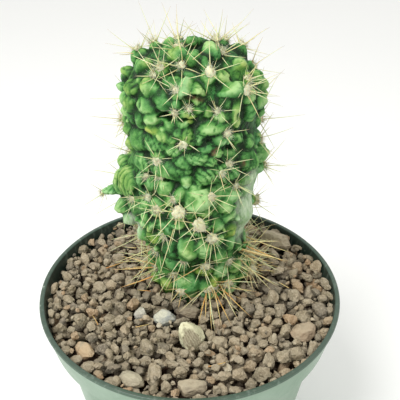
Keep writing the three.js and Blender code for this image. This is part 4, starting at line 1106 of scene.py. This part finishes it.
# Its colour. Noises: scale, detail, roughness and warp. Shares: the range read and the range given.
skinLook = {
    "mottle": (260.0, 4.0, 0.6), "mottleShare": (0.3, 0.7, -0.15, 0.15), "lightShare": 0.26,
    "reliefShadeShare": (-1.3, 1.0, 0.1, 0.66), "fineShadeShare": (-0.22, 0.22, -0.22, 0.24),
    "greens": [
        (0.0, colour(8, 38, 9)), (0.2, colour(24, 72, 22)), (0.4, colour(54, 112, 48)),
        (0.58, colour(86, 142, 70)), (0.76, colour(116, 164, 92)), (0.95, colour(156, 192, 126)),
    ],
    "yellow": colour(255, 226, 150), "yellowShare": (0.1, 1.0, 0.0, 0.85),
    "blue": colour(176, 228, 245), "blueShare": (-0.1, -1.0, 0.0, 0.8),
    "stretch": 0.22, "streaks": (900.0, 4.0, 0.65, 0.6), "streakShare": (0.34, 0.62, 0.3, 1.0),
    # The pale of the old flanks, and the colour of the painted shade in the creases.
    "pale": colour(206, 220, 192), "paleRough": 0.2, "creaseShade": colour(10, 48, 16), "seamShare": (0.1, 0.95, 0.0, 0.36),
    "pores": 1900.0, "poreShare": (0.12, 0.24, 1.0, 0.0), "poreDepth": 0.22, "pore": colour(190, 216, 160),
    "corkNoise": (900.0,), "corkShare": (0.35, 0.6, 0.5, 1.0), "cork": colour(92, 62, 42), "corkHeight": 0.8,
    "roughNoise": (420.0, 3.0), "rough": (0.3, 0.7, 0.5, 0.68),
    "fine": (1300.0, 3.0, 0.6), "coarse": (480.0, 3.0, 0.55, 0.4), "fineHeight": 0.35, "poreHeight": 1.2,
    "bump": (0.55, 0.0006),
}


def skinMaterial():
    material, tree, shader = newMaterial("cactusSkin")
    place = objectPlace(tree)
    reliefShade, light, olive = attribute(tree, "reliefShade"), attribute(tree, "light"), attribute(tree, "olive")
    mottle = rescale(tree, noise(tree, place, *skinLook["mottle"]), *skinLook["mottleShare"])
    shade = plus(tree, times(tree, light, skinLook["lightShare"]), mottle)
    # Painted shade in the hollows and painted light on the domes.
    shade = plus(tree, shade, rescale(tree, reliefShade, *skinLook["reliefShadeShare"]))
    # Painted shade and light at a small scale.
    shade = plus(tree, shade, rescale(tree, attribute(tree, "fine"), *skinLook["fineShadeShare"]))
    green = ramp(tree, shade, skinLook["greens"])
    yellow = blendColours(tree, 1.0, green, skinLook["yellow"], "MULTIPLY")
    blue = blendColours(tree, 1.0, green, skinLook["blue"], "MULTIPLY")
    drawn = addNode(tree, "ShaderNodeMapping", None, Vector=place, Scale=(1.0, 1.0, skinLook["stretch"])).outputs[0]
    streaks = rescale(tree, noise(tree, drawn, *skinLook["streaks"]), *skinLook["streakShare"])
    paleMask = times(tree, attribute(tree, "pale"), streaks)
    # Pale pores, a little closer together than the fine noise.
    pores = addNode(tree, "ShaderNodeTexVoronoi", None, Vector=place, Scale=skinLook["pores"]).outputs["Distance"]
    flecks = times(tree, rescale(tree, pores, *skinLook["poreShare"]), skinLook["poreDepth"])
    corky = rescale(tree, noise(tree, place, *skinLook["corkNoise"]), *skinLook["corkShare"])
    cork = times(tree, attribute(tree, "cracks"), corky)
    tone = layered(
        tree, green,
        (rescale(tree, olive, *skinLook["yellowShare"]), yellow),
        (rescale(tree, olive, *skinLook["blueShare"]), blue),
        (paleMask, skinLook["pale"]),
        # painted shade in the creases
        (rescale(tree, attribute(tree, "seams"), *skinLook["seamShare"]), skinLook["creaseShade"]),
        (flecks, skinLook["pore"]),
        (cork, skinLook["cork"]),
    )
    rough = rescale(tree, noise(tree, place, *skinLook["roughNoise"]), *skinLook["rough"])
    fine = mathNode(tree, "SUBTRACT", noise(tree, place, *skinLook["fine"]),
                    times(tree, flecks, skinLook["poreHeight"]))
    coarse = noise(tree, place, *skinLook["coarse"])
    height = plus(tree, times(tree, fine, skinLook["fineHeight"]), coarse)
    height = mathNode(tree, "SUBTRACT", height, times(tree, cork, skinLook["corkHeight"]))
    fill(tree, shader, {
        "Base Color": tone, "Roughness": plus(tree, rough, times(tree, paleMask, skinLook["paleRough"])),
        "Normal": bump(tree, height, *skinLook["bump"]), "Specular IOR Level": 0.3,
        "Subsurface Weight": 0.06, "Subsurface Scale": 0.0008, "Subsurface Radius": (0.5, 1.0, 0.3),
    })
    return material


bodyMesh.materials.clear()
bodyMesh.materials.append(skinMaterial())


# The grit: grains dropped one by one into the pot's top, each to the lowest rest among a few tries.
grit = {
    "seed": 41, "grains": 1250, "halfLength": (1.9, 3.9), "tries": 16, "bed": 93.8, "highest": 106.2, "cell": 0.5,
    "wallRadius": 67.4, "wallOverlap": 0.45, "stoneRoom": 0.86, "plantRoom": 0.2, "cuts": 8, "cutDepth": (0.5, 0.9),
    "mound": 2.4, "moundRun": 80, "rough": 0.06, "lumpy": 0.13, "lumpySize": 0.75,
    "chips": 420, "chipLength": (0.8, 1.6), "sharpAbove": 24, "sink": 0.66, "shownAbove": 99.4, "mostShown": 450,
    "fineOnes": 1.5, "chipTries": 5, "cutReach": 0.2, "halfLeast": (1.0, 0.84, 0.68), "halfMost": (1.32, 1.04, 0.9),
    "lean": 0.6, "chipLean": 1.2, "footHeight": 102.0,
    # The height map's half side, how far past the wall it is open, and the height that closes it.
    "mapHalf": 76, "mapRoom": 2, "closed": 1000.0,
    # The radius that the grains are kept in, by height, and the heights between which a painted shade darkens them
    # with depth.
    "insideWall": ([91.2, 93.6, 108], [60.3, 64.7, 67.7]), "shadeHeights": (102.0, 97.5),
    "grain": {"Size": 1250.0, "Pits": 0.6}, "dust": {"Amount": 0.42, "Size": 340.0},
    "tones": [
        (0.0, colour(100, 96, 84)), (0.14, colour(132, 126, 108)), (0.3, colour(148, 140, 118)),
        (0.46, colour(162, 152, 128)), (0.6, colour(154, 146, 126)), (0.74, colour(170, 160, 136)),
        (0.88, colour(164, 146, 118)), (0.96, colour(176, 146, 110)), (1.0, colour(200, 194, 172)),
    ],
    "blotch": colour(208, 200, 186), "bright": colour(206, 192, 170), "brightShare": (0.6, 1.0, 0.0, 0.42),
    "dull": colour(84, 70, 62), "dullShare": (0.3, 0.0, 0.0, 0.4), "dustTone": colour(202, 184, 158),
    # The colour of the painted shade deep in the bed, and its share.
    "deep": colour(88, 70, 56), "deepShadeShare": (0.0, 1.0, 0.0, 0.45), "roughness": 0.88, "bump": (0.6, 0.0005),
}


def footRoom(x, y, margin):
    # Squared distance from the plant's foot, one at the ellipse that stands margin outside it.
    left, right, front, back = edgesAt(np.array([grit["footHeight"]]))[0]
    across = (x - (left + right) / 2) / ((right - left) / 2 + margin)
    along = (y - (front + back) / 2) / ((back - front) / 2 + margin)
    return across**2 + along**2


def moundRise(x, y):
    # The grit lies higher at the right and the back: the mound's height times (x + y) over its run.
    return grit["mound"] * between(x + y, 0, grit["moundRun"])


def startingGround():
    side = np.arange(-grit["mapHalf"], grit["mapHalf"], grit["cell"])
    x, y = np.meshgrid(side, side, indexing="ij")
    ground = grit["bed"] + moundRise(x, y)
    closed = np.hypot(x, y) > grit["wallRadius"] + grit["mapRoom"]
    closed |= footRoom(x, y, grit["plantRoom"]) < 1
    for (cx, cy, _), half, turn, *_ in stoneLook["stones"].values():
        c, s = math.cos(math.radians(turn)), math.sin(math.radians(turn))
        u, v = (x - cx) * c + (y - cy) * s, (y - cy) * c - (x - cx) * s
        closed |= (u / half[0]) ** 2 + (v / half[1]) ** 2 < grit["stoneRoom"] ** 2
    ground[closed] = grit["closed"]
    return side, ground


def dropped(side, ground, radius, random, tries, highest):
    # The lowest place among a few tries: the underside of a ball on the height map.
    cells = int(math.ceil(radius / grit["cell"]))
    step = np.arange(-cells, cells + 1)
    dx, dy = np.meshgrid(step, step, indexing="ij")
    inside = radius**2 - (dx**2 + dy**2) * grit["cell"] ** 2
    rise = grit["sink"] * np.sqrt(np.maximum(inside, 0))
    best = None
    for _ in range(tries):
        distance = (grit["wallRadius"] - radius * grit["wallOverlap"]) * math.sqrt(random.uniform())
        angle = 2 * math.pi * random.uniform()
        i, k = np.searchsorted(side, (distance * math.cos(angle), distance * math.sin(angle)))
        window = ground[i - cells:i + cells + 1, k - cells:k + cells + 1]
        z = np.where(inside > 0, window + rise, 0).max()
        if best is None or z < best[2]:
            best = (i, k, z)
    i, k, z = best
    if z + grit["sink"] * radius > highest + moundRise(side[i], side[k]):
        return None
    window = ground[i - cells:i + cells + 1, k - cells:k + cells + 1]
    window[:] = np.where(inside > 0, np.maximum(window, z + rise), window)
    return side[i], side[k], z


def randomTurns(random, count, tilt):
    # Turn matrices: a spin about Z after a lean of at most tilt about an axis in the ground.
    spin = random.uniform(0, 2 * math.pi, count)
    lean = random.uniform(-tilt, tilt, (2, count))
    return turnsAbout(2, spin) @ turnsAbout(0, lean[0]) @ turnsAbout(1, lean[1])


def brokenGrains(places, radii, level, random, tilt):
    # Balls cut back to flat facets, stretched to three uneven half sizes and turned.
    ball, faces = ballTemplate(level)
    count = len(places)
    facings = unitRows(random.normal(size=(count, grit["cuts"], 3)))
    depths = random.uniform(*grit["cutDepth"], (count, grit["cuts"]))
    reach = chipped(ball, facings, depths, grit["cutReach"])
    shift = random.uniform(0, 60, (count, 1, 3))
    lumpy = softNoise((ball[None] + shift).reshape(-1, 3), grit["lumpySize"], 5).reshape(count, -1)
    reach *= 1 + grit["lumpy"] * lumpy
    reach *= 1 + grit["rough"] * random.normal(size=reach.shape)
    half = radii[:, None] * random.uniform(grit["halfLeast"], grit["halfMost"], (count, 3))
    points = ball[None] * reach[:, :, None] * half[:, None]
    turns = randomTurns(random, count, tilt)
    points = np.einsum("nvi,nji->nvj", points, turns) + places[:, None]
    return points.reshape(-1, 3), repeated(faces, count, len(ball)), len(ball)


def gritMaterial():
    material, tree, shader = newMaterial("crushedGrit")
    grain = useGroup(tree, stoneGrain, **grit["grain"])
    dust = useGroup(tree, dustFilm, **grit["dust"])
    speckle = grain.outputs["Speckle"]
    tone = ramp(tree, attribute(tree, "tone"), grit["tones"])
    shadow = blendColours(tree, 1.0, tone, grit["blotch"], "MULTIPLY")
    tone = layered(
        tree, shadow,
        (grain.outputs["Blotch"], tone),
        (rescale(tree, speckle, *grit["brightShare"]), grit["bright"]),
        (rescale(tree, speckle, *grit["dullShare"]), grit["dull"]),
        (dust.outputs["Dust"], grit["dustTone"]),
        # painted shade, deepest low in the bed
        (rescale(tree, attribute(tree, "depth"), *grit["deepShadeShare"]), grit["deep"]),
    )
    fill(tree, shader, {"Base Color": tone, "Roughness": grit["roughness"], "Specular IOR Level": 0.3,
                        "Normal": bump(tree, grain.outputs["Height"], *grit["bump"])})
    return material


def makeGrit():
    random = np.random.default_rng(grit["seed"])
    side, ground = startingGround()

    def poured(count, length, tries):
        # The places and the radii of the grains that found room.
        rows = []
        for _ in range(count):
            radius = length()
            place = dropped(side, ground, radius, random, tries, grit["highest"])
            if place:
                rows.append((*place, radius))
        rows = np.array(rows)
        return rows[:, :3], rows[:, 3]

    small, large = grit["halfLength"]
    places, radii = poured(grit["grains"], lambda: small + (large - small) * random.uniform() ** grit["fineOnes"],
                           grit["tries"])
    # The grains on top keep the most faces, those under them fewer and the chips the fewest.
    tops = places[:, 2] + grit["sink"] * radii
    order = np.argsort(-tops)
    places, radii = places[order], radii[order]
    shown = min(int((tops > grit["shownAbove"]).sum()), grit["mostShown"])
    layers = [brokenGrains(places[:shown], radii[:shown], 3, random, grit["lean"]),
              brokenGrains(places[shown:], radii[shown:], 2, random, grit["lean"])]
    chipPlaces, chipRadii = poured(grit["chips"], lambda: random.uniform(*grit["chipLength"]), grit["chipTries"])
    layers.append(brokenGrains(chipPlaces, chipRadii, 1, random, grit["chipLean"]))
    counts = (shown, len(places) - shown, len(chipPlaces))
    starts = np.cumsum([0] + [len(points) for points, _, _ in layers])
    points = np.concatenate([points for points, _, _ in layers])
    faces = np.concatenate([faces + start for (_, faces, _), start in zip(layers, starts)])
    across = np.hypot(points[:, 0], points[:, 1])
    wall = np.interp(points[:, 2], *grit["insideWall"])
    points[:, :2] *= np.minimum(1, wall / np.maximum(across, 1))[:, None]
    mesh = buildMesh("gritGrains", points * mm, faces)
    mesh.set_sharp_from_angle(angle=math.radians(grit["sharpAbove"]))
    tone = random.uniform(0, 1, sum(counts))
    sizes = np.repeat([each for _, _, each in layers], counts)
    paint(mesh, "tone", np.repeat(tone, sizes))
    # Painted shade: one where a grain lies deep in the bed, nought at its top.
    paint(mesh, "depth", between(points[:, 2], *grit["shadeHeights"]))
    mesh.materials.append(gritMaterial())
    addPiece("gritGrains", mesh, "gravel", "gravel")
    print("grit:", shown, "of", len(places), "grains on top,", len(chipPlaces), "chips,", triangles(mesh),
          "triangles")
    return side, ground


groundSide, groundHeight = makeGrit()


# The areoles: where a line from outside meets the skin. It starts this far out; a miss is put this far along it.
sight = {"start": 30, "missed": 27}


def skinHits(rows):
    azimuth, z = rows[:, 0], rows[:, 1]
    at, _, _, outward = bodyFrame(azimuth, z)
    places, facings = [], []
    for start, way in zip(at + outward * sight["start"], -outward):
        hit, normal, _, _ = bodyTree.ray_cast(Vector(start), Vector(way))
        places.append(hit if hit else start + way * sight["missed"])
        facings.append(normal if hit else -way)
    facing = unitRows(unitRows(np.array(facings, float)) + outward)
    return np.array(places, float), facing


areolePlace, areoleFacing = skinHits(areoleRows)
areoleSide = unitRows(np.cross([[0.0, 0.0, 1.0]], areoleFacing))
areoleUp = np.cross(areoleFacing, areoleSide)


# Wool: a lumpy pad in each areole with fine curled fibres standing out of it.
wool = {
    "seed": 17, "ball": 3, "size": 1.1, "lumpy": 0.42, "fibres": 90, "fibreLength": (0.7, 2.0),
    "fibreRadius": 0.075, "thinning": 0.75, "rings": 3, "sides": 3, "curl": 0.6, "spread": 1.1, "stray": 0.4,
    "dome": 0.45, "domeReach": 1.05,
    # The largest pad by height on the plant: heights and radii.
    "largest": ([120, 190], [2.8, 1.7]), "halfLeast": (0.85, 0.85, 0.55), "halfMost": (1.2, 1.15, 0.8),
    "coarse": 0.55, "fine": 0.22,
    "tufts": (1400.0, 4.0, 0.7), "tuftShare": (0.35, 0.7, 0.5, 0.0), "bump": (0.7, 0.0004),
    "young": colour(230, 230, 198), "old": colour(214, 208, 174), "root": colour(188, 184, 138),
}
# Pads are smaller on the crown than low on the plant.
woolSize = np.minimum(areoleRows[:, 2], np.interp(areoleRows[:, 1], *wool["largest"])) * wool["size"]


def woolPads(random):
    # A half-sunk ball whose radius wanders by noise of two sizes.
    ball, faces = ballTemplate(wool["ball"])
    count = len(areoleRows)
    half = woolSize[:, None] * random.uniform(wool["halfLeast"], wool["halfMost"], (count, 3))
    shifted = (ball[None] + random.uniform(0, 60, (count, 1, 3))).reshape(-1, 3)
    rough = softNoise(shifted, wool["coarse"], 8) + 0.6 * softNoise(shifted, wool["fine"], 9)
    local = ball[None] * (1 + wool["lumpy"] * rough.reshape(count, -1))[:, :, None] * half[:, None]
    points = (areolePlace[:, None] + local[:, :, :1] * areoleSide[:, None] + local[:, :, 1:2] * areoleUp[:, None]
              + local[:, :, 2:] * areoleFacing[:, None])
    return points.reshape(-1, 3), repeated(faces, count, len(ball)), len(ball)


def woolFibres(random):
    # Each fibre: its root plus length t times a way that turns by curl t^2.
    count = len(areoleRows) * wool["fibres"]
    owner = np.repeat(np.arange(len(areoleRows)), wool["fibres"])
    size = woolSize[owner]
    angle = random.uniform(0, 2 * math.pi, count)
    reach = np.sqrt(random.uniform(0, 1, count)) * size
    side, up, facing = areoleSide[owner], areoleUp[owner], areoleFacing[owner]
    flat = side * np.cos(angle)[:, None] + up * np.sin(angle)[:, None]
    dome = wool["dome"] * size * np.sqrt(np.maximum(1 - (reach / (size * wool["domeReach"])) ** 2, 0))
    root = areolePlace[owner] + flat * reach[:, None] + facing * dome[:, None]
    spread = (reach / size)[:, None] * wool["spread"]
    way = unitRows(facing + flat * spread + wool["stray"] * random.normal(size=(count, 3)))
    bend = wool["curl"] * random.normal(size=(count, 3))
    length = random.uniform(*wool["fibreLength"], count)[:, None]
    t = np.linspace(0, 1, wool["rings"])[None, :, None]
    paths = root[:, None] + way[:, None] * (length[:, None] * t) + bend[:, None] * (length[:, None] * t**2)
    radii = wool["fibreRadius"] * (1 - wool["thinning"] * np.broadcast_to(t[:, :, 0], (count, wool["rings"])))
    return owner, sweptTubes(paths, radii, wool["sides"])


def woolMaterial():
    material, tree, shader = newMaterial("areoleWool")
    tufts = noise(tree, objectPlace(tree), *wool["tufts"])
    tone = layered(tree, wool["young"], (attribute(tree, "age"), wool["old"]),
                   (rescale(tree, tufts, *wool["tuftShare"]), wool["root"]))
    fill(tree, shader, {
        "Base Color": tone, "Roughness": 0.95, "Specular IOR Level": 0.15, "Sheen Weight": 0.5,
        "Sheen Roughness": 0.5, "Subsurface Weight": 0.15, "Subsurface Scale": 0.0008,
        "Normal": bump(tree, tufts, *wool["bump"]),
    })
    return material


def makeWool():
    random = np.random.default_rng(wool["seed"])
    padPoints, padFaces, each = woolPads(random)
    owner, (points, quads, ends, _) = woolFibres(random)
    age = np.clip(random.normal(0.42, 0.3, len(areoleRows)), 0, 1)
    mesh = buildMesh("cactusWool", np.concatenate([padPoints, points]) * mm, padFaces,
                     quads + len(padPoints), ends + len(padPoints))
    paint(mesh, "age", np.concatenate([np.repeat(age, each), np.repeat(age[owner], len(points) // len(owner))]))
    mesh.materials.append(woolMaterial())
    addPiece("cactusWool", mesh, "cactus")
    print("wool:", triangles(mesh), "triangles")


makeWool()


# Spines: stout straw-coloured needles, one or two standing out of an areole and the rest spread round it.
spines = {
    "seed": 29, "sides": 6, "rings": 7, "rootRadius": (0.14, 0.23), "sink": 1.0, "bend": 0.05,
    "moreRadials": (1, 4), "radialLean": (54, 84), "radialLength": (0.62, 1.15), "centralLean": (6, 30),
    "centralLength": (0.9, 1.25), "floor": 104.6, "reach": 68.5, "turns": 10, "turn": 0.13, "clear": 0.5,
    # Roots lie at this share of the wool's radius. A spine tapers by (tipEnd - t) to the power of its taper.
    "rootSpread": 0.4, "tipEnd": 1.02, "taper": 0.55, "rootSwell": 0.25, "rootSwellReach": 0.12,
    # Those of the foot are thicker and golden: from which height down, where that is full, and by how much.
    "lowHeights": (126, 100), "lowThick": 0.4, "lowWarm": 0.9, "tones": (-0.7, 0.35),
    # Colours from the root to the tip.
    "pale": [(0.0, colour(192, 184, 122)), (0.16, colour(208, 208, 148)), (0.5, colour(220, 224, 174)),
             (0.82, colour(210, 212, 158)), (1.0, colour(164, 142, 114))],
    "warm": [(0.0, colour(180, 116, 54)), (0.3, colour(214, 158, 78)), (0.7, colour(224, 182, 100)),
             (1.0, colour(136, 94, 62))],
    "bands": (700.0, 2.0, 0.5), "bandShare": (0.5, 0.75, 0.0, 0.3), "band": colour(230, 228, 178),
    "rough": (2600.0, 2.0), "bump": (0.25, 0.0002),
    # Long ones seen in the photograph: azimuth, height, and the tip's x, y and z.
    "long": [
        (-67, 114.5, -37, 3, 114), (-64, 116, -34, 6, 120), (-60, 112, -33, -3, 108), (-72, 118, -38, 12, 112),
        (-7, 158.5, -14, -14, 122), (77, 132, 47, -2, 127.5), (68, 129, 45, -2, 122), (68, 130, 41, -2, 134),
        (62, 126, 33.5, -4, 121), (60, 127, 48, 4, 118), (59, 124, 39, -4.4, 106.5),
        (-50, 131, -39.6, 15, 107.5), (-52, 128, -29.7, 1.4, 106.5),
        (64, 124, 42, 10, 112), (58, 129, 44, -6, 126),
        (9, 127.5, -10, -13, 118), (13, 112, 9.9, -30, 105.4), (15, 112, 18.8, -26, 105.2), (20, 113, 28, -21, 105.6),
        (10, 111, 4, -25, 105.3), (16, 113, 14, -27, 106), (24, 114, 22, -23, 105.8), (8, 112, 7, -22, 105.5),
    ],
    "longThick": 1.5, "longWarm": 0.6,
    # Those lying on the grit: how many, how far out their middles and ends may be, half length, highest ground.
    "fallen": 9, "fallenMiddle": 54, "fallenReach": 62, "fallenHalf": (3.5, 7.5), "fallenBelow": 105,
}


def spineAims(random):
    # Rows of owner, lean and turn about the areole, and length.
    rows = []
    for owner, (_, _, _, count, length) in enumerate(areoleRows):
        phase = random.uniform(0, 2 * math.pi)
        radials = int(count) + random.integers(*spines["moreRadials"])
        turns = [("radial", k) for k in range(radials)] + [("central", k) for k in range(2 if count > 4 else 1)]
        for kind, k in turns:
            if kind == "radial":
                turn = phase + 2 * math.pi * (k + 0.5 * random.uniform(-0.5, 0.5)) / radials
            else:
                turn = random.uniform(0, 2 * math.pi)
            lean = random.uniform(*spines[kind + "Lean"])
            rows.append((owner, lean, turn, length * random.uniform(*spines[kind + "Length"])))
    return np.array(rows)


def clearedAims(root, aim, facing, length):
    # A spine that would run into the grit, past the rim or into the skin is turned up or outward.
    aim = aim.copy()
    for _ in range(spines["turns"]):
        tip = root + aim * length[:, None]
        low = (tip[:, 2] < spines["floor"]) | (np.hypot(tip[:, 0], tip[:, 1]) > spines["reach"])
        aim[low, 2] += spines["turn"]
        buried = np.zeros(len(aim), bool)
        for share in (0.35, 0.7, 1.0):
            for i, point in enumerate(root + aim * (length * share)[:, None]):
                near, normal, _, _ = bodyTree.find_nearest(Vector(point))
                buried[i] |= (Vector(point) - near).dot(normal) < spines["clear"]
        aim[buried] += facing[buried] * spines["turn"]
        aim = unitRows(aim)
        if not (low | buried).any():
            break
    return aim


def spinePaths(random, root, tip, facing):
    # The straight line to the tip plus a slight bow, t(1-t) times the bend across it.
    t = np.linspace(0, 1, spines["rings"]) ** 0.9
    t = t[None, :, None]
    length = np.linalg.norm(tip - root, axis=1)[:, None]
    bow = spines["bend"] * length * random.normal(size=root.shape)
    start = root - facing * spines["sink"]
    return start[:, None] + (tip - start)[:, None] * t + bow[:, None] * (t * (1 - t))


def spineMaterial():
    material, tree, shader = newMaterial("strawSpine")
    place = objectPlace(tree)
    along = attribute(tree, "along")
    pale, warm = ramp(tree, along, spines["pale"]), ramp(tree, along, spines["warm"])
    bands = rescale(tree, noise(tree, place, *spines["bands"]), *spines["bandShare"])
    tone = layered(tree, pale, (attribute(tree, "tone"), warm), (bands, spines["band"]))
    rough = noise(tree, place, *spines["rough"])
    fill(tree, shader, {"Base Color": tone, "Roughness": 0.42, "Subsurface Weight": 0.12, "Subsurface Scale": 0.0006,
                        "Normal": bump(tree, rough, *spines["bump"])})
    return material


def fallenSpines(random):
    # Old spines lying on the grit: a level line at the height of the highest ground under it.
    roots, tips = [], []
    while len(roots) < spines["fallen"]:
        middle = random.uniform(-spines["fallenMiddle"], spines["fallenMiddle"], 2)
        angle, half = random.uniform(0, math.pi), random.uniform(*spines["fallenHalf"])
        way = np.array([math.cos(angle), math.sin(angle)]) * half
        line = middle + np.linspace(-1, 1, 15)[:, None] * way
        under = groundHeight[tuple(np.searchsorted(groundSide, line).T)]
        if under.max() < spines["fallenBelow"] and np.hypot(*line.T).max() < spines["fallenReach"]:
            z = under.max() + 0.1
            roots.append((*line[0], z))
            tips.append((*line[-1], z - 0.4))
    return np.array(roots), np.array(tips)


def makeSpines():
    random = np.random.default_rng(spines["seed"])
    rows = spineAims(random)
    owner = rows[:, 0].astype(int)
    lean, turn, length = np.radians(rows[:, 1]), rows[:, 2], rows[:, 3]
    side, up, facing = areoleSide[owner], areoleUp[owner], areoleFacing[owner]
    flat = side * np.cos(turn)[:, None] + up * np.sin(turn)[:, None]
    root = areolePlace[owner] + flat * (spines["rootSpread"] * woolSize[owner])[:, None]
    aim = facing * np.cos(lean)[:, None] + flat * np.sin(lean)[:, None]
    aim = clearedAims(root, aim, facing, length)
    tip = root + aim * length[:, None]
    longRows = np.array(spines["long"], float)
    longRoot, longFacing = skinHits(longRows)
    fallenRoot, fallenTip = fallenSpines(random)
    roots = np.concatenate([root, longRoot, fallenRoot])
    tips = np.concatenate([tip, longRows[:, 2:], fallenTip])
    facings = np.concatenate([facing, longFacing, np.zeros_like(fallenRoot)])
    paths = spinePaths(random, roots, tips, facings)
    thick = random.uniform(*spines["rootRadius"], len(paths))[:, None]
    t = np.linspace(0, 1, spines["rings"])[None]
    low = between(roots[:, 2], *spines["lowHeights"])
    thick = thick * (1 + spines["lowThick"] * low[:, None])
    long = slice(len(root), len(root) + len(longRows))
    thick[long] *= spines["longThick"]
    swell = 1 + spines["rootSwell"] * np.exp(-((t / spines["rootSwellReach"]) ** 2))
    radii = thick * (spines["tipEnd"] - t) ** spines["taper"] * swell
    points, quads, ends, share = sweptTubes(paths, radii, spines["sides"])
    mesh = buildMesh("cactusSpines", points * mm, quads, ends)
    tone = random.uniform(*spines["tones"], len(paths)) + spines["lowWarm"] * low
    tone[long] += spines["longWarm"]
    tone = np.clip(tone, 0, 1)
    paint(mesh, "along", share)
    paint(mesh, "tone", np.repeat(tone, len(points) // len(paths)))
    mesh.materials.append(spineMaterial())
    addPiece("cactusSpines", mesh, "cactus")
    print("spines:", len(paths), "in", triangles(mesh), "triangles")


makeSpines()


# Plain pale floor, soft studio light, and the camera at the photograph's angle.
studio = {
    "floorHalf": 4.0, "floorTone": colour(250, 250, 248), "skyTone": (1.0, 1.0, 0.985, 1.0), "skyStrength": 0.88,
    "keyPlace": (-0.30, -0.34, 0.80), "keyTarget": (0.0, 0.0, 0.14), "keySize": 0.35, "keyPower": 5.0,
    "cameraPlace": (0.0047, -0.22592, 0.29414), "cameraPitch": 58.305, "lens": 55.0, "sensor": 36.0,
}


def makeStudio():
    half = studio["floorHalf"]
    corners = [(-half, -half, 0), (half, -half, 0), (half, half, 0), (-half, half, 0)]
    floor = bpy.data.objects.new("floor", buildMesh("floor", corners, [[0, 1, 2, 3]], smooth=False))
    bpy.context.scene.collection.objects.link(floor)
    material, tree, shader = newMaterial("paleFloor")
    clouds = noise(tree, objectPlace(tree), 3.0, 3.0)
    tone = blendColours(tree, rescale(tree, clouds, 0.3, 0.7, 0.0, 0.2), studio["floorTone"], colour(244, 246, 244))
    fill(tree, shader, {"Base Color": tone, "Roughness": 0.7})
    floor.data.materials.append(material)

    world = bpy.data.worlds.new("softSky")
    world.use_nodes = True
    sky = world.node_tree.nodes["Background"]
    sky.inputs["Color"].default_value = studio["skyTone"]
    sky.inputs["Strength"].default_value = studio["skyStrength"]
    bpy.context.scene.world = world

    key = bpy.data.lights.new("key", "AREA")
    key.shape = "DISK"
    key.size = studio["keySize"]
    key.energy = studio["keyPower"]
    lamp = bpy.data.objects.new("key", key)
    lamp.location = studio["keyPlace"]
    lamp.rotation_euler = (Vector(studio["keyTarget"]) - lamp.location).to_track_quat("-Z", "Y").to_euler()
    bpy.context.scene.collection.objects.link(lamp)

    lens = bpy.data.cameras.new("view")
    lens.lens = studio["lens"]
    lens.sensor_width = studio["sensor"]
    lens.clip_start = 0.01
    camera = bpy.data.objects.new("view", lens)
    camera.location = studio["cameraPlace"]
    camera.rotation_euler = (math.radians(studio["cameraPitch"]), 0.0, 0.0)
    bpy.context.scene.collection.objects.link(camera)
    bpy.context.scene.camera = camera
    bpy.context.scene.view_settings.view_transform = "Standard"


makeStudio()
print("studio ready")
